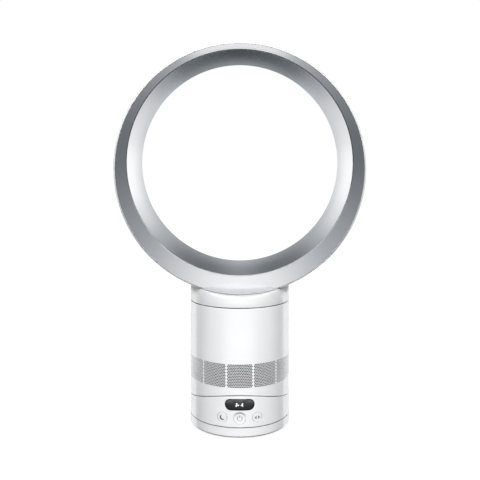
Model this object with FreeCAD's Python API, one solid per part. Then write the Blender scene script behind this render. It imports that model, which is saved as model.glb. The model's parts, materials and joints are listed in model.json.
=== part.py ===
import FreeCAD, Part
import os
from math import acos, ceil, cos, degrees, pi, radians, sin, sqrt, tan

from FreeCAD import Vector

# A bladeless table fan: a round foot, a control section that swings on it, a motor body that
# tilts in the control section's cradle, and a hollow loop that is twisted onto the body's top.
# Origin: centre of the foot on the table. +Z up, the air blows towards -Y. Millimetres.

# ---- driving dimensions -------------------------------------------------------------------
# the column that foot, control section, body and neck share
COLUMN_R = 62.5          # outside radius
CASING_WALL = 2.2        # wall of every column casing
SEAM_GAP = 0.8           # shadow gap where two casings meet
FIT = 0.1                # clearance between pieces that are fixed to each other
RUN = 0.05               # clearance between pieces that run on each other

# foot
PAD_HEIGHT = 1.5         # rubber pads under the foot
PAD_R = 7.0
PAD_INSET = 12.5         # from the foot's outside to the pads' middle
FOOT_HEIGHT = 11.7       # above the pads
FOOT_FLOOR = 2.5         # thickness of the foot's floor
FOOT_CHAMFER = 2.0       # of the lower edge
SPINDLE_R = 11.0         # hollow spindle that the control section turns on
SPINDLE_BORE_R = 8.0
SPINDLE_NECK = 1.2       # step down to the nut's seat
WIRE_NOTCH = 6.0         # way for the wires into the spindle, above the foot's floor
NUT_HEIGHT = 2.5
NUT_FLATS_R = 13.5       # half the nut's width across flats
NUT_PLAY = 0.2           # between the nut and the control section's hub
GLIDE_COUNT = 6          # low-friction blocks that carry the control section
GLIDE_GAP = 1.0          # between these and the pinion's path
GLIDE_LENGTH = 9.0
GLIDE_WIDTH = 4.0

# power socket at the back of the foot
SOCKET_WIDTH = 11.0
SOCKET_HEIGHT = 6.8
SOCKET_DEPTH = 12.0
SOCKET_SETBACK = 7.0     # from the foot's surface to the socket's face
PLUG_R = 2.8             # bore for the plug's barrel
PLUG_DEPTH = 9.0
PIN_R = 1.0

# swing drive
SWING_HALF_ANGLE = 45.0
GEAR_TEETH = 60          # of the full circle: only a sector is cut
PINION_TEETH = 12
GEAR_HEIGHT = 5.0
GEAR_ADDENDUM = 0.7      # in modules; short, so that the small pinion isn't undercut
PINION_ADDENDUM = 1.0
PINION_DEDENDUM = 1.1
GEAR_DEDENDUM = 1.25
GEAR_RIM_GAP = 1.0       # between the spindle and the toothed sector
PINION_SOCKET_GAP = 0.5  # between the pinion and the inner end of the power socket
GEAR_SPARE_ANGLE = 9.0   # teeth past each end of the swing
PINION_LIFT = 0.4        # above the foot's floor
BACKLASH = 0.25
PRESSURE_ANGLE = 20.0
PINION_SHAFT_R = 2.0
PINION_SHAFT_GAP = 0.6   # round the shaft, in the control section's floor
PINION_SHAFT_REACH = 5.0 # of the shaft into the motor
SWING_MOTOR_WIDTH = 30.0
SWING_MOTOR_DEPTH = 22.0
SWING_MOTOR_HEIGHT = 18.0
SWING_MOTOR_CHAMFER = 4.0

# control section
CONTROL_FLOOR = 2.2
HUB_WALL = 4.5
HUB_HEIGHT = 5.0         # of the bore that runs on the spindle
DISPLAY_WIDTH = 35.5
DISPLAY_HEIGHT = 13.4
DISPLAY_LOW_GAP = 0.9     # between the window and the power button's flange
DISPLAY_TOP_WALL = 3.65  # casing above the window
DISPLAY_PROUD = 0.3      # how far the window stands out of the casing
POWER_BUTTON_R = 7.2
SIDE_BUTTON_R = 5.7
BUTTON_FLOOR_GAP = 0.4   # between the power button's flange and the floor
SIDE_BUTTON_X = 21.0
BUTTON_GAP = 0.35        # all round, in the casing's holes
BUTTON_FLANGE = 1.2      # how far the flange that retains a button stands out
BUTTON_FLANGE_THICK = 1.0
BUTTON_STEM_HALF = 1.5
BUTTON_TRAVEL = 0.6
BUTTON_LENGTH = 10.5     # from the column's front to the end of the buttons' stems
SWITCH_HEIGHT = 2.0
SWITCH_WIDTH = 6.0
SWITCH_PLAY = 0.1        # between a stem at full travel and its switch
DISPLAY_BOARD_SETBACK = 2.0
LIGHTS_WIDTH = 18.0
LIGHTS_HEIGHT = 7.0
LIGHTS_DEPTH = 1.6
BRACKET = 2.0
BOARD = 1.6              # thickness of every circuit board

# tilt cradle: the deck and the body's base are arcs about the tilt axis
TILT_R = 151.5           # radius of the seam between them
TILT_HALF_ANGLE = 10.0
DECK = 2.5
BASE_PLATE = 3.0         # of the body's base
RAIL_X = 30.0
RAIL_WIDTH = 4.0
RAIL_EDGE = 5.3          # of the body's base, left beyond the ends of the rails' slots
KEEPER_WIDTH = 9.0
KEEPER = 2.2
RAIL_CLEARANCE = 0.4
RAIL_END_GAP = 1.0       # left in the base's slots at full tilt
SUPPORT_INSET = 16.3     # from the casing's inside to the deck's pads and posts, along X
GLIDE_PAD_WIDTH = 8.0    # pads that the body's base slides on
GLIDE_PAD_HALF_LENGTH = 7.0
GLIDE_PAD_Y = 25.0
CABLE_R = 7.0
POST_HALF = 3.0          # half the side of the square posts
CRADLE_POST_Y = 20.0

# body
GRILLE_RISE = 9.65       # from the seam's highest point to the grille
GRILLE_HEIGHT = 28.0
GRILLE_PANELS = 12
GRILLE_STRIP = 2.5       # plain strip between two panels
GRILLE_HOLE_WIDTH = 4.0
GRILLE_HOLE_HEIGHT = 6.4
GRILLE_COLUMNS = 3       # in the longer rows of a panel
GRILLE_ROWS = 3
PILLAR_INSET = 8.3       # from the casing's inside to the pillars' middle
ISOLATOR_HEIGHT = 4.0
ISOLATOR_HALF = 4.0
MOTOR_BOARD_RISE = 16.3   # above the base's lowest place
MOTOR_BOARD_HALF = 22.0
BOARD_POST_HALF = 2.0
BOARD_POST_INSET = 4.0
BOARD_PART_INSET = 6.0    # from the board's edge to its parts
CHOKE_SIDE = 12.0
CHOKE_HEIGHT = 8.0
CAPACITOR_SIDE = 10.0
CAPACITOR_HEIGHT = 5.0
HEAT_SINK_DEPTH = 8.0
HEAT_SINK_HEIGHT = 3.0
TAB_COUNT = 4            # tabs on the base, behind the casing
TAB_WIDTH = 14.0
TAB_THICK = 4.0
TAB_RISE = 16.3          # above the base's lowest place

# fan unit: an axial wheel and guide vanes in one straight duct
DUCT_INSET = 12.0        # from the spigot's outside to the duct's bore
DUCT_RISE = 9.0          # from the grille to the duct
DUCT_LENGTH = 40.0
DUCT_WALL = 1.8
HUB_R = 24.0             # of the wheel and of the motor pod above it
HUB_GAP = 1.0            # between wheel and pod
WHEEL_INSET = 2.0        # from the duct's lower edge to the wheel, and to the arms
WHEEL_HEIGHT = 20.0
BLADE_COUNT = 9
BLADE = 1.6
BLADE_ANGLE = 50.0       # slope of the wheel's blades
BLADE_LENGTH = 26.0
BLADE_ROOT = 1.5         # depth of a blade's root in its hub
TIP_CLEARANCE = 0.8
SHAFT_R = 2.5
MOTOR_POD_RISE = 5.0     # of its straight wall above the duct
MOTOR_POD_CHAMFER = 4.0
BEARING_DEPTH = 16.0     # how far the shaft runs up into the pod
VANE_COUNT = 7
VANE_ANGLE = 75.0
VANE_LENGTH = 15.0
SEAL_FLANGE = 2.0
SEAL_HEIGHT = 4.0        # between the fan unit and the spigot
ARM_WIDTH = 9.0
ARM = 3.0

# bayonet between body and neck
SPIGOT_INSET = 2.3       # from the casing's inside to the spigot's outside
SPIGOT_WALL = 2.4
SPIGOT_LENGTH = 11.9
LUG_COUNT = 3
LUG_HALF_ANGLE = 6.0
LUG_OUT = 1.5
LUG_END_GAP = 0.5        # in degrees
LUG_INSET = 2.0          # from the spigot's lower edge to the lugs
LUG_HEIGHT = 3.5
TWIST_ANGLE = 15.0
LOCK_CLEARANCE = 0.2

# loop: ramp and throat run about the air axis, the outer wall about a lower axis
NECK_HEIGHT = 12.2       # from the neck's lower edge to the loop's lowest point
OUTER_AXIS_DROP = 6.8    # the duct is deeper at the bottom, where the air comes in
LOOP_DEPTH = 88.0        # of the outer casing
LOOP_WALL = 2.6
THROAT_R = 126.5
THROAT_LENGTH = 19.0     # from the throat to the lip's front edge
RAMP_RISE = 9.4          # from the throat's radius to the ridge's
BEVEL_WIDTH = 16.3       # from the ridge's radius to the rim's
BEVEL_DEPTH = 9.0        # from the rim forward to the ridge
RIDGE_FLAT = 1.0
RIM_STEP = 2.2           # width of the outer casing's rim round the bevel
RIM_DEPTH = 3.0          # length of its chamfer
RIM_FLANGE = 8.0         # how far the front casing's flange reaches in behind the rim
NOSE_LENGTH = 15.0       # rounding between the outer wall and the back
NOSE_DEPTH = 8.0
LIP_STEP = 4.5           # from the throat's radius to the lip's
LIP_WALL = 1.6
LIP_LENGTH = 15.0
LIP_NOSE_LENGTH = 7.0    # rounding between the back and the lip
LIP_NOSE_DEPTH = 5.0
ROUND_STEPS = 2          # flats in one quarter of a rounding
RAMP_STEPS = 2           # and along the ramp
SLIT = 1.4
SLIT_LENGTH = 3.0        # overlap of the lip and the front casing
FRONT_WALL = 2.0
SPACER_COUNT = 8
SPACER_WIDTH = 3.0
PORT_INSET_X = 12.0      # from the spigot's outside to the port, at the sides
PORT_INSET_Y = 18.0      # from the loop's rim and back to the port
PORT_CORNER_R = 12.0
PORT_WALL = 2.0
PORT_RISE = 12.0         # height of the port's collar inside the loop
NECK_GAP = 0.5           # shadow gap between neck and loop, round the seat
NECK_SEAT = 5.0          # width of the seat round the port
NECK_FLOOR = 2.5

# ---- sizes that follow, from the foot up -----------------------------------------------------
INNER_R = COLUMN_R - CASING_WALL
FLOOR_Z = PAD_HEIGHT + FOOT_FLOOR
FOOT_TOP = PAD_HEIGHT + FOOT_HEIGHT
CONTROL_LOW = FOOT_TOP + SEAM_GAP
HUB_TOP_Z = CONTROL_LOW + HUB_HEIGHT
NUT_Z = HUB_TOP_Z + NUT_PLAY
PINION_REACH = COLUMN_R - SOCKET_SETBACK - SOCKET_DEPTH - PINION_SOCKET_GAP
GEAR_MODULE = PINION_REACH / (GEAR_TEETH / 2 + PINION_TEETH + PINION_ADDENDUM)
PINION_Y = GEAR_MODULE * (GEAR_TEETH + PINION_TEETH) / 2
PINION_TIP_R = GEAR_MODULE * (PINION_TEETH / 2 + PINION_ADDENDUM)
GLIDE_CIRCLE_R = PINION_Y + PINION_TIP_R + GLIDE_GAP + GLIDE_WIDTH / 2

CONTROL_FLOOR_TOP = CONTROL_LOW + CONTROL_FLOOR
BUTTON_Z = CONTROL_FLOOR_TOP + BUTTON_FLOOR_GAP + BUTTON_FLANGE + POWER_BUTTON_R
DISPLAY_Z = BUTTON_Z + POWER_BUTTON_R + BUTTON_FLANGE + DISPLAY_LOW_GAP + DISPLAY_HEIGHT / 2
SWITCH_BOARD_Y = BUTTON_LENGTH - COLUMN_R + BUTTON_TRAVEL + SWITCH_PLAY + SWITCH_HEIGHT
DISPLAY_BOARD_Y = DISPLAY_BOARD_SETBACK - sqrt(INNER_R ** 2 - (DISPLAY_WIDTH / 2) ** 2)

DECK_R = TILT_R + SEAM_GAP / 2
BASE_R = TILT_R - SEAM_GAP / 2
BASE_INNER_R = BASE_R - BASE_PLATE
KEEPER_R = BASE_INNER_R - RAIL_CLEARANCE
SEAM_HIGH_Z = DISPLAY_Z + DISPLAY_HEIGHT / 2 + DISPLAY_TOP_WALL
TILT_Z = SEAM_HIGH_Z + sqrt(DECK_R ** 2 - COLUMN_R ** 2)
TILT_SWING = TILT_R * radians(TILT_HALF_ANGLE)
SUPPORT_X = INNER_R - SUPPORT_INSET
SLOT_HALF_WIDTH = RAIL_WIDTH / 2 + RAIL_CLEARANCE
SLOT_HALF_LENGTH = sqrt((INNER_R - FIT) ** 2 - (RAIL_X + SLOT_HALF_WIDTH) ** 2) - RAIL_EDGE
RAIL_HALF_LENGTH = SLOT_HALF_LENGTH - TILT_SWING - RAIL_END_GAP

BASE_LOW_Z = TILT_Z - BASE_INNER_R
MOTOR_BOARD_Z = BASE_LOW_Z + MOTOR_BOARD_RISE
GRILLE_LOW = SEAM_HIGH_Z + GRILLE_RISE
GRILLE_HIGH = GRILLE_LOW + GRILLE_HEIGHT
SPIGOT_R = INNER_R - SPIGOT_INSET
DUCT_R = SPIGOT_R - DUCT_INSET
DUCT_LOW = GRILLE_HIGH + DUCT_RISE
DUCT_TOP = DUCT_LOW + DUCT_LENGTH
WHEEL_LOW = DUCT_LOW + WHEEL_INSET
WHEEL_TOP = WHEEL_LOW + WHEEL_HEIGHT
POD_LOW = WHEEL_TOP + HUB_GAP
PILLAR_CIRCLE_R = INNER_R - PILLAR_INSET
PILLAR_TOP = WHEEL_LOW - ISOLATOR_HEIGHT
SPIGOT_LOW = DUCT_TOP + SEAL_FLANGE + SEAL_HEIGHT
LUG_LOW = SPIGOT_LOW + LUG_INSET
NECK_LOW = SPIGOT_LOW + SPIGOT_LENGTH
BODY_TOP = NECK_LOW - SEAM_GAP

RIDGE_R = THROAT_R + RAMP_RISE
RIM_R = RIDGE_R + BEVEL_WIDTH
LOOP_R = RIM_R + RIM_STEP
LIP_R = THROAT_R + LIP_STEP
SLIT_R = LIP_R + LIP_WALL + SLIT
OUTER_AXIS_Z = NECK_LOW + NECK_HEIGHT + LOOP_R
AIR_AXIS_Z = OUTER_AXIS_Z + OUTER_AXIS_DROP
LOOP_FRONT_Y = -LOOP_DEPTH / 2
LOOP_BACK_Y = LOOP_DEPTH / 2
RIDGE_Y = LOOP_FRONT_Y - BEVEL_DEPTH
LIP_FRONT_Y = LOOP_BACK_Y - LIP_LENGTH
THROAT_Y = LIP_FRONT_Y - THROAT_LENGTH
PORT_HALF_X = SPIGOT_R - PORT_INSET_X
PORT_HALF_Y = LOOP_DEPTH / 2 - PORT_INSET_Y
FAR = 400.0              # longer than anything that is cut


# ---- shapes that several pieces use --------------------------------------------------------
def cylinder(radius, low, high, x=0.0, y=0.0):
    """Upright cylinder from height low to height high."""
    return Part.makeCylinder(radius, high - low, Vector(x, y, low))


def tube(outer, inner, low, high):
    """Upright tube about the column's axis."""
    return cylinder(outer, low, high).cut(cylinder(inner, low - 1, high + 1))


def block(x_range, y_range, z_range):
    """Box between three pairs of coordinates."""
    lows = [min(pair) for pair in (x_range, y_range, z_range)]
    sizes = [abs(pair[1] - pair[0]) for pair in (x_range, y_range, z_range)]
    return Part.makeBox(*sizes, Vector(*lows))


def across(radius):
    """Cylinder along X about the tilt axis."""
    return Part.makeCylinder(radius, 2 * FAR, Vector(-FAR, 0, TILT_Z), Vector(1, 0, 0))


def arc_plate(outer, inner):
    """Curved plate between two radii about the tilt axis, on its lower side."""
    below = block((-FAR, FAR), (-COLUMN_R, COLUMN_R), (0, TILT_Z))
    return across(outer).cut(across(inner)).common(below)


def post(half, low, high, x=0.0, y=0.0):
    """Upright square bar from height low to height high."""
    return block((x - half, x + half), (y - half, y + half), (low, high))


def turned(shape, angle):
    """Copy turned about the column's axis, in degrees."""
    copy = shape.copy()
    copy.rotate(Vector(0, 0, 0), Vector(0, 0, 1), angle)
    return copy


def outline(steps, place):
    """Closed wire from (u, v) corners; a step of four numbers is an arc's middle and end."""
    points = [place(*step[-2:]) for step in steps]
    edges = []
    for i, step in enumerate(steps):
        start = points[i - 1]
        if (points[i] - start).Length < 1e-7:
            continue
        if len(step) == 4:
            edges.append(Part.Arc(start, place(*step[:2]), points[i]).toShape())
        else:
            edges.append(Part.LineSegment(start, points[i]).toShape())
    return Part.Wire(edges)


def upright_ring(steps):
    """Solid turned about the column's axis from an outline of (radius, height) steps."""
    wire = outline(steps, lambda r, z: Vector(r, 0, z))
    return Part.Face(wire).revolve(Vector(0, 0, 0), Vector(0, 0, 1), 360)


def loop_ring(steps, axis_z):
    """Solid turned about a level axis at axis_z from an outline of (y, radius) steps."""
    wire = outline(steps, lambda y, r: Vector(0, y, axis_z + r))
    return Part.Face(wire).revolve(Vector(0, 0, axis_z), Vector(0, 1, 0), 360)


def rounding(start, end, corner):
    """Points after start, on the quarter ellipse from start to end that bulges to corner."""
    points = []
    for i in range(1, ROUND_STEPS + 1):
        turn = pi / 2 * i / ROUND_STEPS
        first, second = sin(turn), 1 - cos(turn)
        points.append(tuple(
            s + (c - s) * first + (e - c) * second for s, c, e in zip(start, corner, end)
        ))
    return points


def upright_edges(shape):
    return [e for e in shape.Edges if abs(e.tangentAt(e.FirstParameter).z) > 0.9]


def fused(first, *others):
    return first.fuse(list(others)).removeSplitter()


def cut_away(shape, *tools):
    return shape.cut(list(tools))


def save(name, shape):
    """Writes one piece, checked, as parts/NAME.step."""
    solids = shape.Solids
    if not solids or not all(s.isValid() and s.Volume > 0 for s in solids):
        raise ValueError(name + " is not a sound solid")
    made = solids[0] if len(solids) == 1 else Part.makeCompound(solids)
    made.exportStep("parts/" + name + ".step")


# ---- foot ----------------------------------------------------------------------------------
def foot_base():
    """Dish with a chamfered lower edge, a hollow spindle and the socket's window."""
    nut_seat_r = SPINDLE_R - SPINDLE_NECK
    dish = upright_ring([
        (0, PAD_HEIGHT),
        (COLUMN_R - FOOT_CHAMFER, PAD_HEIGHT),
        (COLUMN_R, PAD_HEIGHT + FOOT_CHAMFER),
        (COLUMN_R, FOOT_TOP),
        (INNER_R, FOOT_TOP),
        (INNER_R, FLOOR_Z),
        (SPINDLE_R, FLOOR_Z),
        (SPINDLE_R, NUT_Z),
        (nut_seat_r, NUT_Z),
        (nut_seat_r, NUT_Z + NUT_HEIGHT),
        (SPINDLE_BORE_R, NUT_Z + NUT_HEIGHT),
        (SPINDLE_BORE_R, FLOOR_Z),
        (0, FLOOR_Z),
    ])
    half = WIRE_NOTCH / 2
    notch = block((-half, half), (-SPINDLE_R - 1, 0), (FLOOR_Z, FLOOR_Z + WIRE_NOTCH))
    return cut_away(dish, socket_space(FIT), notch)


def socket_space(clearance):
    """The way in for the plug, through the foot's back wall."""
    half = SOCKET_WIDTH / 2 + clearance
    top = FLOOR_Z + SOCKET_HEIGHT + clearance
    return block((-half, half), (INNER_R - CASING_WALL, COLUMN_R + 1), (FLOOR_Z, top))


def power_socket():
    """Socket block on the foot's floor, with the plug's bore and its centre pin."""
    face = COLUMN_R - SOCKET_SETBACK
    half = SOCKET_WIDTH / 2
    body = block((-half, half), (face - SOCKET_DEPTH, face), (FLOOR_Z, FLOOR_Z + SOCKET_HEIGHT))
    middle = Vector(0, face, FLOOR_Z + SOCKET_HEIGHT / 2)
    bore = Part.makeCylinder(PLUG_R, PLUG_DEPTH, middle, Vector(0, -1, 0))
    pin = Part.makeCylinder(PIN_R, PLUG_DEPTH, middle, Vector(0, -1, 0))
    return body.cut(bore).fuse(pin)


def foot_pads():
    """Four rubber pads."""
    place = (COLUMN_R - PAD_INSET) * sqrt(0.5)
    return Part.makeCompound([
        cylinder(PAD_R, 0, PAD_HEIGHT, x, y) for x in (-place, place) for y in (-place, place)
    ])


def glide_blocks():
    """Blocks that stand on the foot's floor and carry the control section's underside."""
    one = block(
        (-GLIDE_LENGTH / 2, GLIDE_LENGTH / 2),
        (GLIDE_CIRCLE_R - GLIDE_WIDTH / 2, GLIDE_CIRCLE_R + GLIDE_WIDTH / 2),
        (FLOOR_Z, CONTROL_LOW - RUN),
    )
    step = 360 / GLIDE_COUNT
    return Part.makeCompound([turned(one, step * (i + 0.5)) for i in range(GLIDE_COUNT)])


def spindle_nut():
    """Hexagonal nut that holds the control section down on the foot."""
    corner = NUT_FLATS_R / cos(radians(30))
    corners = [
        Vector(corner * cos(radians(60 * i)), corner * sin(radians(60 * i)), NUT_Z)
        for i in range(7)
    ]
    hexagon = Part.Face(Part.makePolygon(corners)).extrude(Vector(0, 0, NUT_HEIGHT))
    return hexagon.cut(cylinder(SPINDLE_R - SPINDLE_NECK, NUT_Z - 1, NUT_Z + NUT_HEIGHT + 1))


# ---- swing drive ---------------------------------------------------------------------------
def flank(teeth, addendum, dedendum):
    """(radius, half angle) along one tooth's involute flank, from root to tip."""
    pitch = GEAR_MODULE * teeth / 2
    base = pitch * cos(radians(PRESSURE_ANGLE))
    root = pitch - dedendum * GEAR_MODULE
    tip = pitch + addendum * GEAR_MODULE

    def involute(radius):
        angle = acos(min(1.0, base / radius))
        return tan(angle) - angle

    half_at_base = (pi * GEAR_MODULE / 2 - BACKLASH) / 2 / pitch + involute(pitch)
    radii = [root, base, pitch, tip] if root < base else [root, pitch, tip]
    return [(r, half_at_base - involute(max(r, base))) for r in radii]


def tooth_points(side, middle):
    """Corners of one tooth with these flanks whose middle is at that angle, in radians."""
    rising = [(r, middle - half) for r, half in side]
    falling = [(r, middle + half) for r, half in reversed(side)]
    return [Vector(r * cos(a), r * sin(a), 0) for r, a in rising + falling]


def swing_gear():
    """Toothed sector on the foot's floor, about the spindle."""
    side = flank(GEAR_TEETH, GEAR_ADDENDUM, GEAR_DEDENDUM)
    step = 2 * pi / GEAR_TEETH
    count = int(ceil(radians(SWING_HALF_ANGLE + GEAR_SPARE_ANGLE) / step))
    points = []
    for i in range(-count, count + 1):
        points += tooth_points(side, pi / 2 + i * step)
    reach = (count + 0.5) * step
    inner = SPINDLE_R + GEAR_RIM_GAP
    start = Vector(inner * cos(pi / 2 + reach), inner * sin(pi / 2 + reach), 0)
    end = Vector(inner * cos(pi / 2 - reach), inner * sin(pi / 2 - reach), 0)
    arc = Part.Arc(start, Vector(0, inner, 0), end).toShape()
    wire = Part.Wire([Part.makePolygon([end] + points + [start]), arc])
    sector = Part.Face(wire).extrude(Vector(0, 0, GEAR_HEIGHT))
    sector.translate(Vector(0, 0, FLOOR_Z))
    return sector


def drive_pinion():
    """Pinion under the control section's floor, with its shaft up into the swing motor."""
    side = flank(PINION_TEETH, PINION_ADDENDUM, PINION_DEDENDUM)
    step = 2 * pi / PINION_TEETH
    points = []
    for i in range(PINION_TEETH):
        points += tooth_points(side, (i + 0.5) * step - pi / 2)
    teeth = Part.Face(Part.makePolygon(points + points[:1])).extrude(Vector(0, 0, GEAR_HEIGHT))
    low = FLOOR_Z + PINION_LIFT
    teeth.translate(Vector(0, PINION_Y, low))
    shaft_top = CONTROL_FLOOR_TOP + PINION_SHAFT_REACH
    return fused(teeth, cylinder(PINION_SHAFT_R, low, shaft_top, 0, PINION_Y))


def swing_motor():
    """Geared motor on the control section's floor."""
    half, deep = SWING_MOTOR_WIDTH / 2, SWING_MOTOR_DEPTH / 2
    low = CONTROL_FLOOR_TOP
    body = block((-half, half), (PINION_Y - deep, PINION_Y + deep),
                 (low, low + SWING_MOTOR_HEIGHT))
    body = body.makeChamfer(SWING_MOTOR_CHAMFER, upright_edges(body))
    shaft_top = low + PINION_SHAFT_REACH + FIT
    return body.cut(cylinder(PINION_SHAFT_R + RUN, low - 1, shaft_top, 0, PINION_Y))


# ---- control section -----------------------------------------------------------------------
def display_bar(grow):
    """Pill-shaped bar through the casing's front wall, larger by grow all round."""
    radius = DISPLAY_HEIGHT / 2 + grow
    half = DISPLAY_WIDTH / 2 - DISPLAY_HEIGHT / 2
    z = DISPLAY_Z
    steps = [
        (-half, z + radius), (half, z + radius), (half + radius, z, half, z - radius),
        (-half, z - radius), (-half - radius, z, -half, z + radius),
    ]
    wire = outline(steps, lambda x, height: Vector(x, -2 * COLUMN_R, height))
    return Part.Face(wire).extrude(Vector(0, 2 * COLUMN_R, 0))


def button_bar(x, radius, front, back):
    """Round bar along Y between two places."""
    return Part.makeCylinder(radius, back - front, Vector(x, front, BUTTON_Z), Vector(0, 1, 0))


def buttons():
    """Name, place and radius of each button."""
    return [
        ("sleep_button", -SIDE_BUTTON_X, SIDE_BUTTON_R),
        ("power_button", 0.0, POWER_BUTTON_R),
        ("swing_button", SIDE_BUTTON_X, SIDE_BUTTON_R),
    ]


def control_casing():
    """Outer shell of the control section. Its top edge is the seam's saddle curve."""
    shell = tube(COLUMN_R, INNER_R, CONTROL_LOW, TILT_Z - DECK_R * 0.9).cut(across(DECK_R))
    holes = [button_bar(x, r + BUTTON_GAP, -2 * COLUMN_R, 0) for _, x, r in buttons()]
    return cut_away(shell, display_bar(FIT), *holes)


def display_window():
    """Dark window, flush with the casing inside and a little proud outside."""
    low, high = DISPLAY_Z - DISPLAY_HEIGHT, DISPLAY_Z + DISPLAY_HEIGHT
    return tube(COLUMN_R + DISPLAY_PROUD, INNER_R, low, high).common(display_bar(0))


def button(x, radius):
    """Round button whose face follows the column, with a retaining flange and a stem."""
    reach = abs(x) + radius + BUTTON_FLANGE
    flange = FIT - sqrt(INNER_R ** 2 - reach ** 2)
    flange_back = flange + BUTTON_FLANGE_THICK
    low, high = BUTTON_Z - 2 * radius, BUTTON_Z + 2 * radius
    head = button_bar(x, radius, -COLUMN_R - 1, flange_back).common(cylinder(COLUMN_R, low, high))
    half = BUTTON_STEM_HALF
    stem = block((x - half, x + half), (flange, BUTTON_LENGTH - COLUMN_R),
                 (BUTTON_Z - half, BUTTON_Z + half))
    return fused(head, button_bar(x, radius + BUTTON_FLANGE, flange, flange_back), stem)


def control_floor():
    """Round floor with the hub that runs on the spindle."""
    bore = SPINDLE_R + RUN
    plate = upright_ring([
        (bore, CONTROL_LOW),
        (INNER_R - FIT, CONTROL_LOW),
        (INNER_R - FIT, CONTROL_FLOOR_TOP),
        (bore + HUB_WALL, CONTROL_FLOOR_TOP),
        (bore + HUB_WALL, HUB_TOP_Z),
        (bore, HUB_TOP_Z),
    ])
    shaft_hole_r = PINION_SHAFT_R + PINION_SHAFT_GAP
    return plate.cut(cylinder(shaft_hole_r, 0, CONTROL_FLOOR_TOP + 1, 0, PINION_Y))


def board_bracket():
    """Upright bracket on the floor that carries both boards behind the front."""
    face = SWITCH_BOARD_Y + BOARD
    top = DISPLAY_Z + LIGHTS_HEIGHT
    half = SIDE_BUTTON_X + SIDE_BUTTON_R
    lower = block((-half, half), (face, face + BRACKET), (CONTROL_FLOOR_TOP, top))
    half = DISPLAY_WIDTH / 2
    upper = block((-half, half), (DISPLAY_BOARD_Y + BOARD, face),
                  (DISPLAY_Z - LIGHTS_HEIGHT, top))
    return fused(lower, upper).cut(deck_space())


def deck_space():
    """What the cradle's deck takes up, with a clearance below it."""
    return across(DECK_R + DECK + FIT)


def display_board():
    """Board behind the window, with the block of lights on it."""
    half, front = DISPLAY_WIDTH / 2, DISPLAY_BOARD_Y
    board = block((-half, half), (front, front + BOARD),
                  (DISPLAY_Z - LIGHTS_HEIGHT, DISPLAY_Z + LIGHTS_HEIGHT))
    lights = block((-LIGHTS_WIDTH / 2, LIGHTS_WIDTH / 2), (front - LIGHTS_DEPTH, front),
                   (DISPLAY_Z - LIGHTS_HEIGHT / 2, DISPLAY_Z + LIGHTS_HEIGHT / 2))
    return fused(board, lights).cut(deck_space())


def switch_board():
    """Board behind the buttons, with one small switch for each."""
    front = SWITCH_BOARD_Y
    half, key = SIDE_BUTTON_X + SIDE_BUTTON_R, SWITCH_WIDTH / 2
    board = block((-half, half), (front, front + BOARD),
                  (CONTROL_FLOOR_TOP, BUTTON_Z + POWER_BUTTON_R))
    keys = [
        block((x - key, x + key), (front - SWITCH_HEIGHT, front), (BUTTON_Z - key, BUTTON_Z + key))
        for _, x, _ in buttons()
    ]
    return fused(board, *keys)


def tilt_cradle():
    """Hollow-curved deck on four posts, with two rail stems on its upper side."""
    inside_casing = cylinder(INNER_R - FIT, 0, TILT_Z)
    deck = arc_plate(DECK_R + DECK, DECK_R).common(inside_casing)
    above = across(DECK_R + DECK / 2)
    posts = [
        post(POST_HALF, CONTROL_FLOOR_TOP, TILT_Z, x, y).cut(above)
        for x in (-SUPPORT_X, SUPPORT_X)
        for y in (-CRADLE_POST_Y, CRADLE_POST_Y)
    ]
    stems = [rail_bar(side, RAIL_WIDTH, DECK_R + DECK / 2, KEEPER_R) for side in (-1, 1)]
    return fused(deck, *posts, *stems).cut(cylinder(CABLE_R, 0, TILT_Z))


def rail_bar(side, width, outer, inner):
    """Bar along one rail, between two radii about the tilt axis."""
    middle = side * RAIL_X
    limits = block((middle - width / 2, middle + width / 2),
                   (-RAIL_HALF_LENGTH, RAIL_HALF_LENGTH), (0, TILT_Z))
    return arc_plate(outer, inner).common(limits)


def rail_keepers():
    """Strips on the rail stems that hook over the body's base and hold it down."""
    return Part.makeCompound([
        rail_bar(side, KEEPER_WIDTH, KEEPER_R, KEEPER_R - KEEPER) for side in (-1, 1)
    ])


def tilt_glides():
    """Four low-friction pads on the deck that carry the body's base."""
    layer = arc_plate(DECK_R, BASE_R + RUN)
    half_x, half_y = GLIDE_PAD_WIDTH / 2, GLIDE_PAD_HALF_LENGTH
    return Part.makeCompound([
        layer.common(block((x - half_x, x + half_x), (y - half_y, y + half_y), (0, TILT_Z)))
        for x in (-SUPPORT_X, SUPPORT_X)
        for y in (-GLIDE_PAD_Y, GLIDE_PAD_Y)
    ])


# ---- body ----------------------------------------------------------------------------------
def grille_holes():
    """Upright holes in staggered rows, panel by panel."""
    panel_angle = 360 / GRILLE_PANELS
    pitch = (panel_angle - degrees(GRILLE_STRIP / COLUMN_R)) / GRILLE_COLUMNS
    half_width = GRILLE_HOLE_WIDTH / 2
    rise = (GRILLE_HEIGHT - GRILLE_HOLE_HEIGHT) / (GRILLE_ROWS - 1)
    one = block((INNER_R - CASING_WALL, COLUMN_R + CASING_WALL), (-half_width, half_width),
                (GRILLE_LOW, GRILLE_LOW + GRILLE_HOLE_HEIGHT))
    holes = []
    for panel in range(GRILLE_PANELS):
        for row in range(GRILLE_ROWS):
            count = GRILLE_COLUMNS - row % 2
            for column in range(count):
                across_panel = (column - (count - 1) / 2) * pitch
                hole = turned(one, panel * panel_angle + across_panel - 90)
                hole.translate(Vector(0, 0, row * rise))
                holes.append(hole)
    return holes


def ring_sector(outer, inner, low, high, start, sweep):
    """Part of an upright ring, from the angle start over sweep degrees."""
    corners = [(inner, low), (outer, low), (outer, high), (inner, high)]
    wire = outline(corners, lambda r, z: Vector(r, 0, z))
    sector = Part.Face(wire).revolve(Vector(0, 0, 0), Vector(0, 0, 1), sweep)
    return turned(sector, start)


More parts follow.
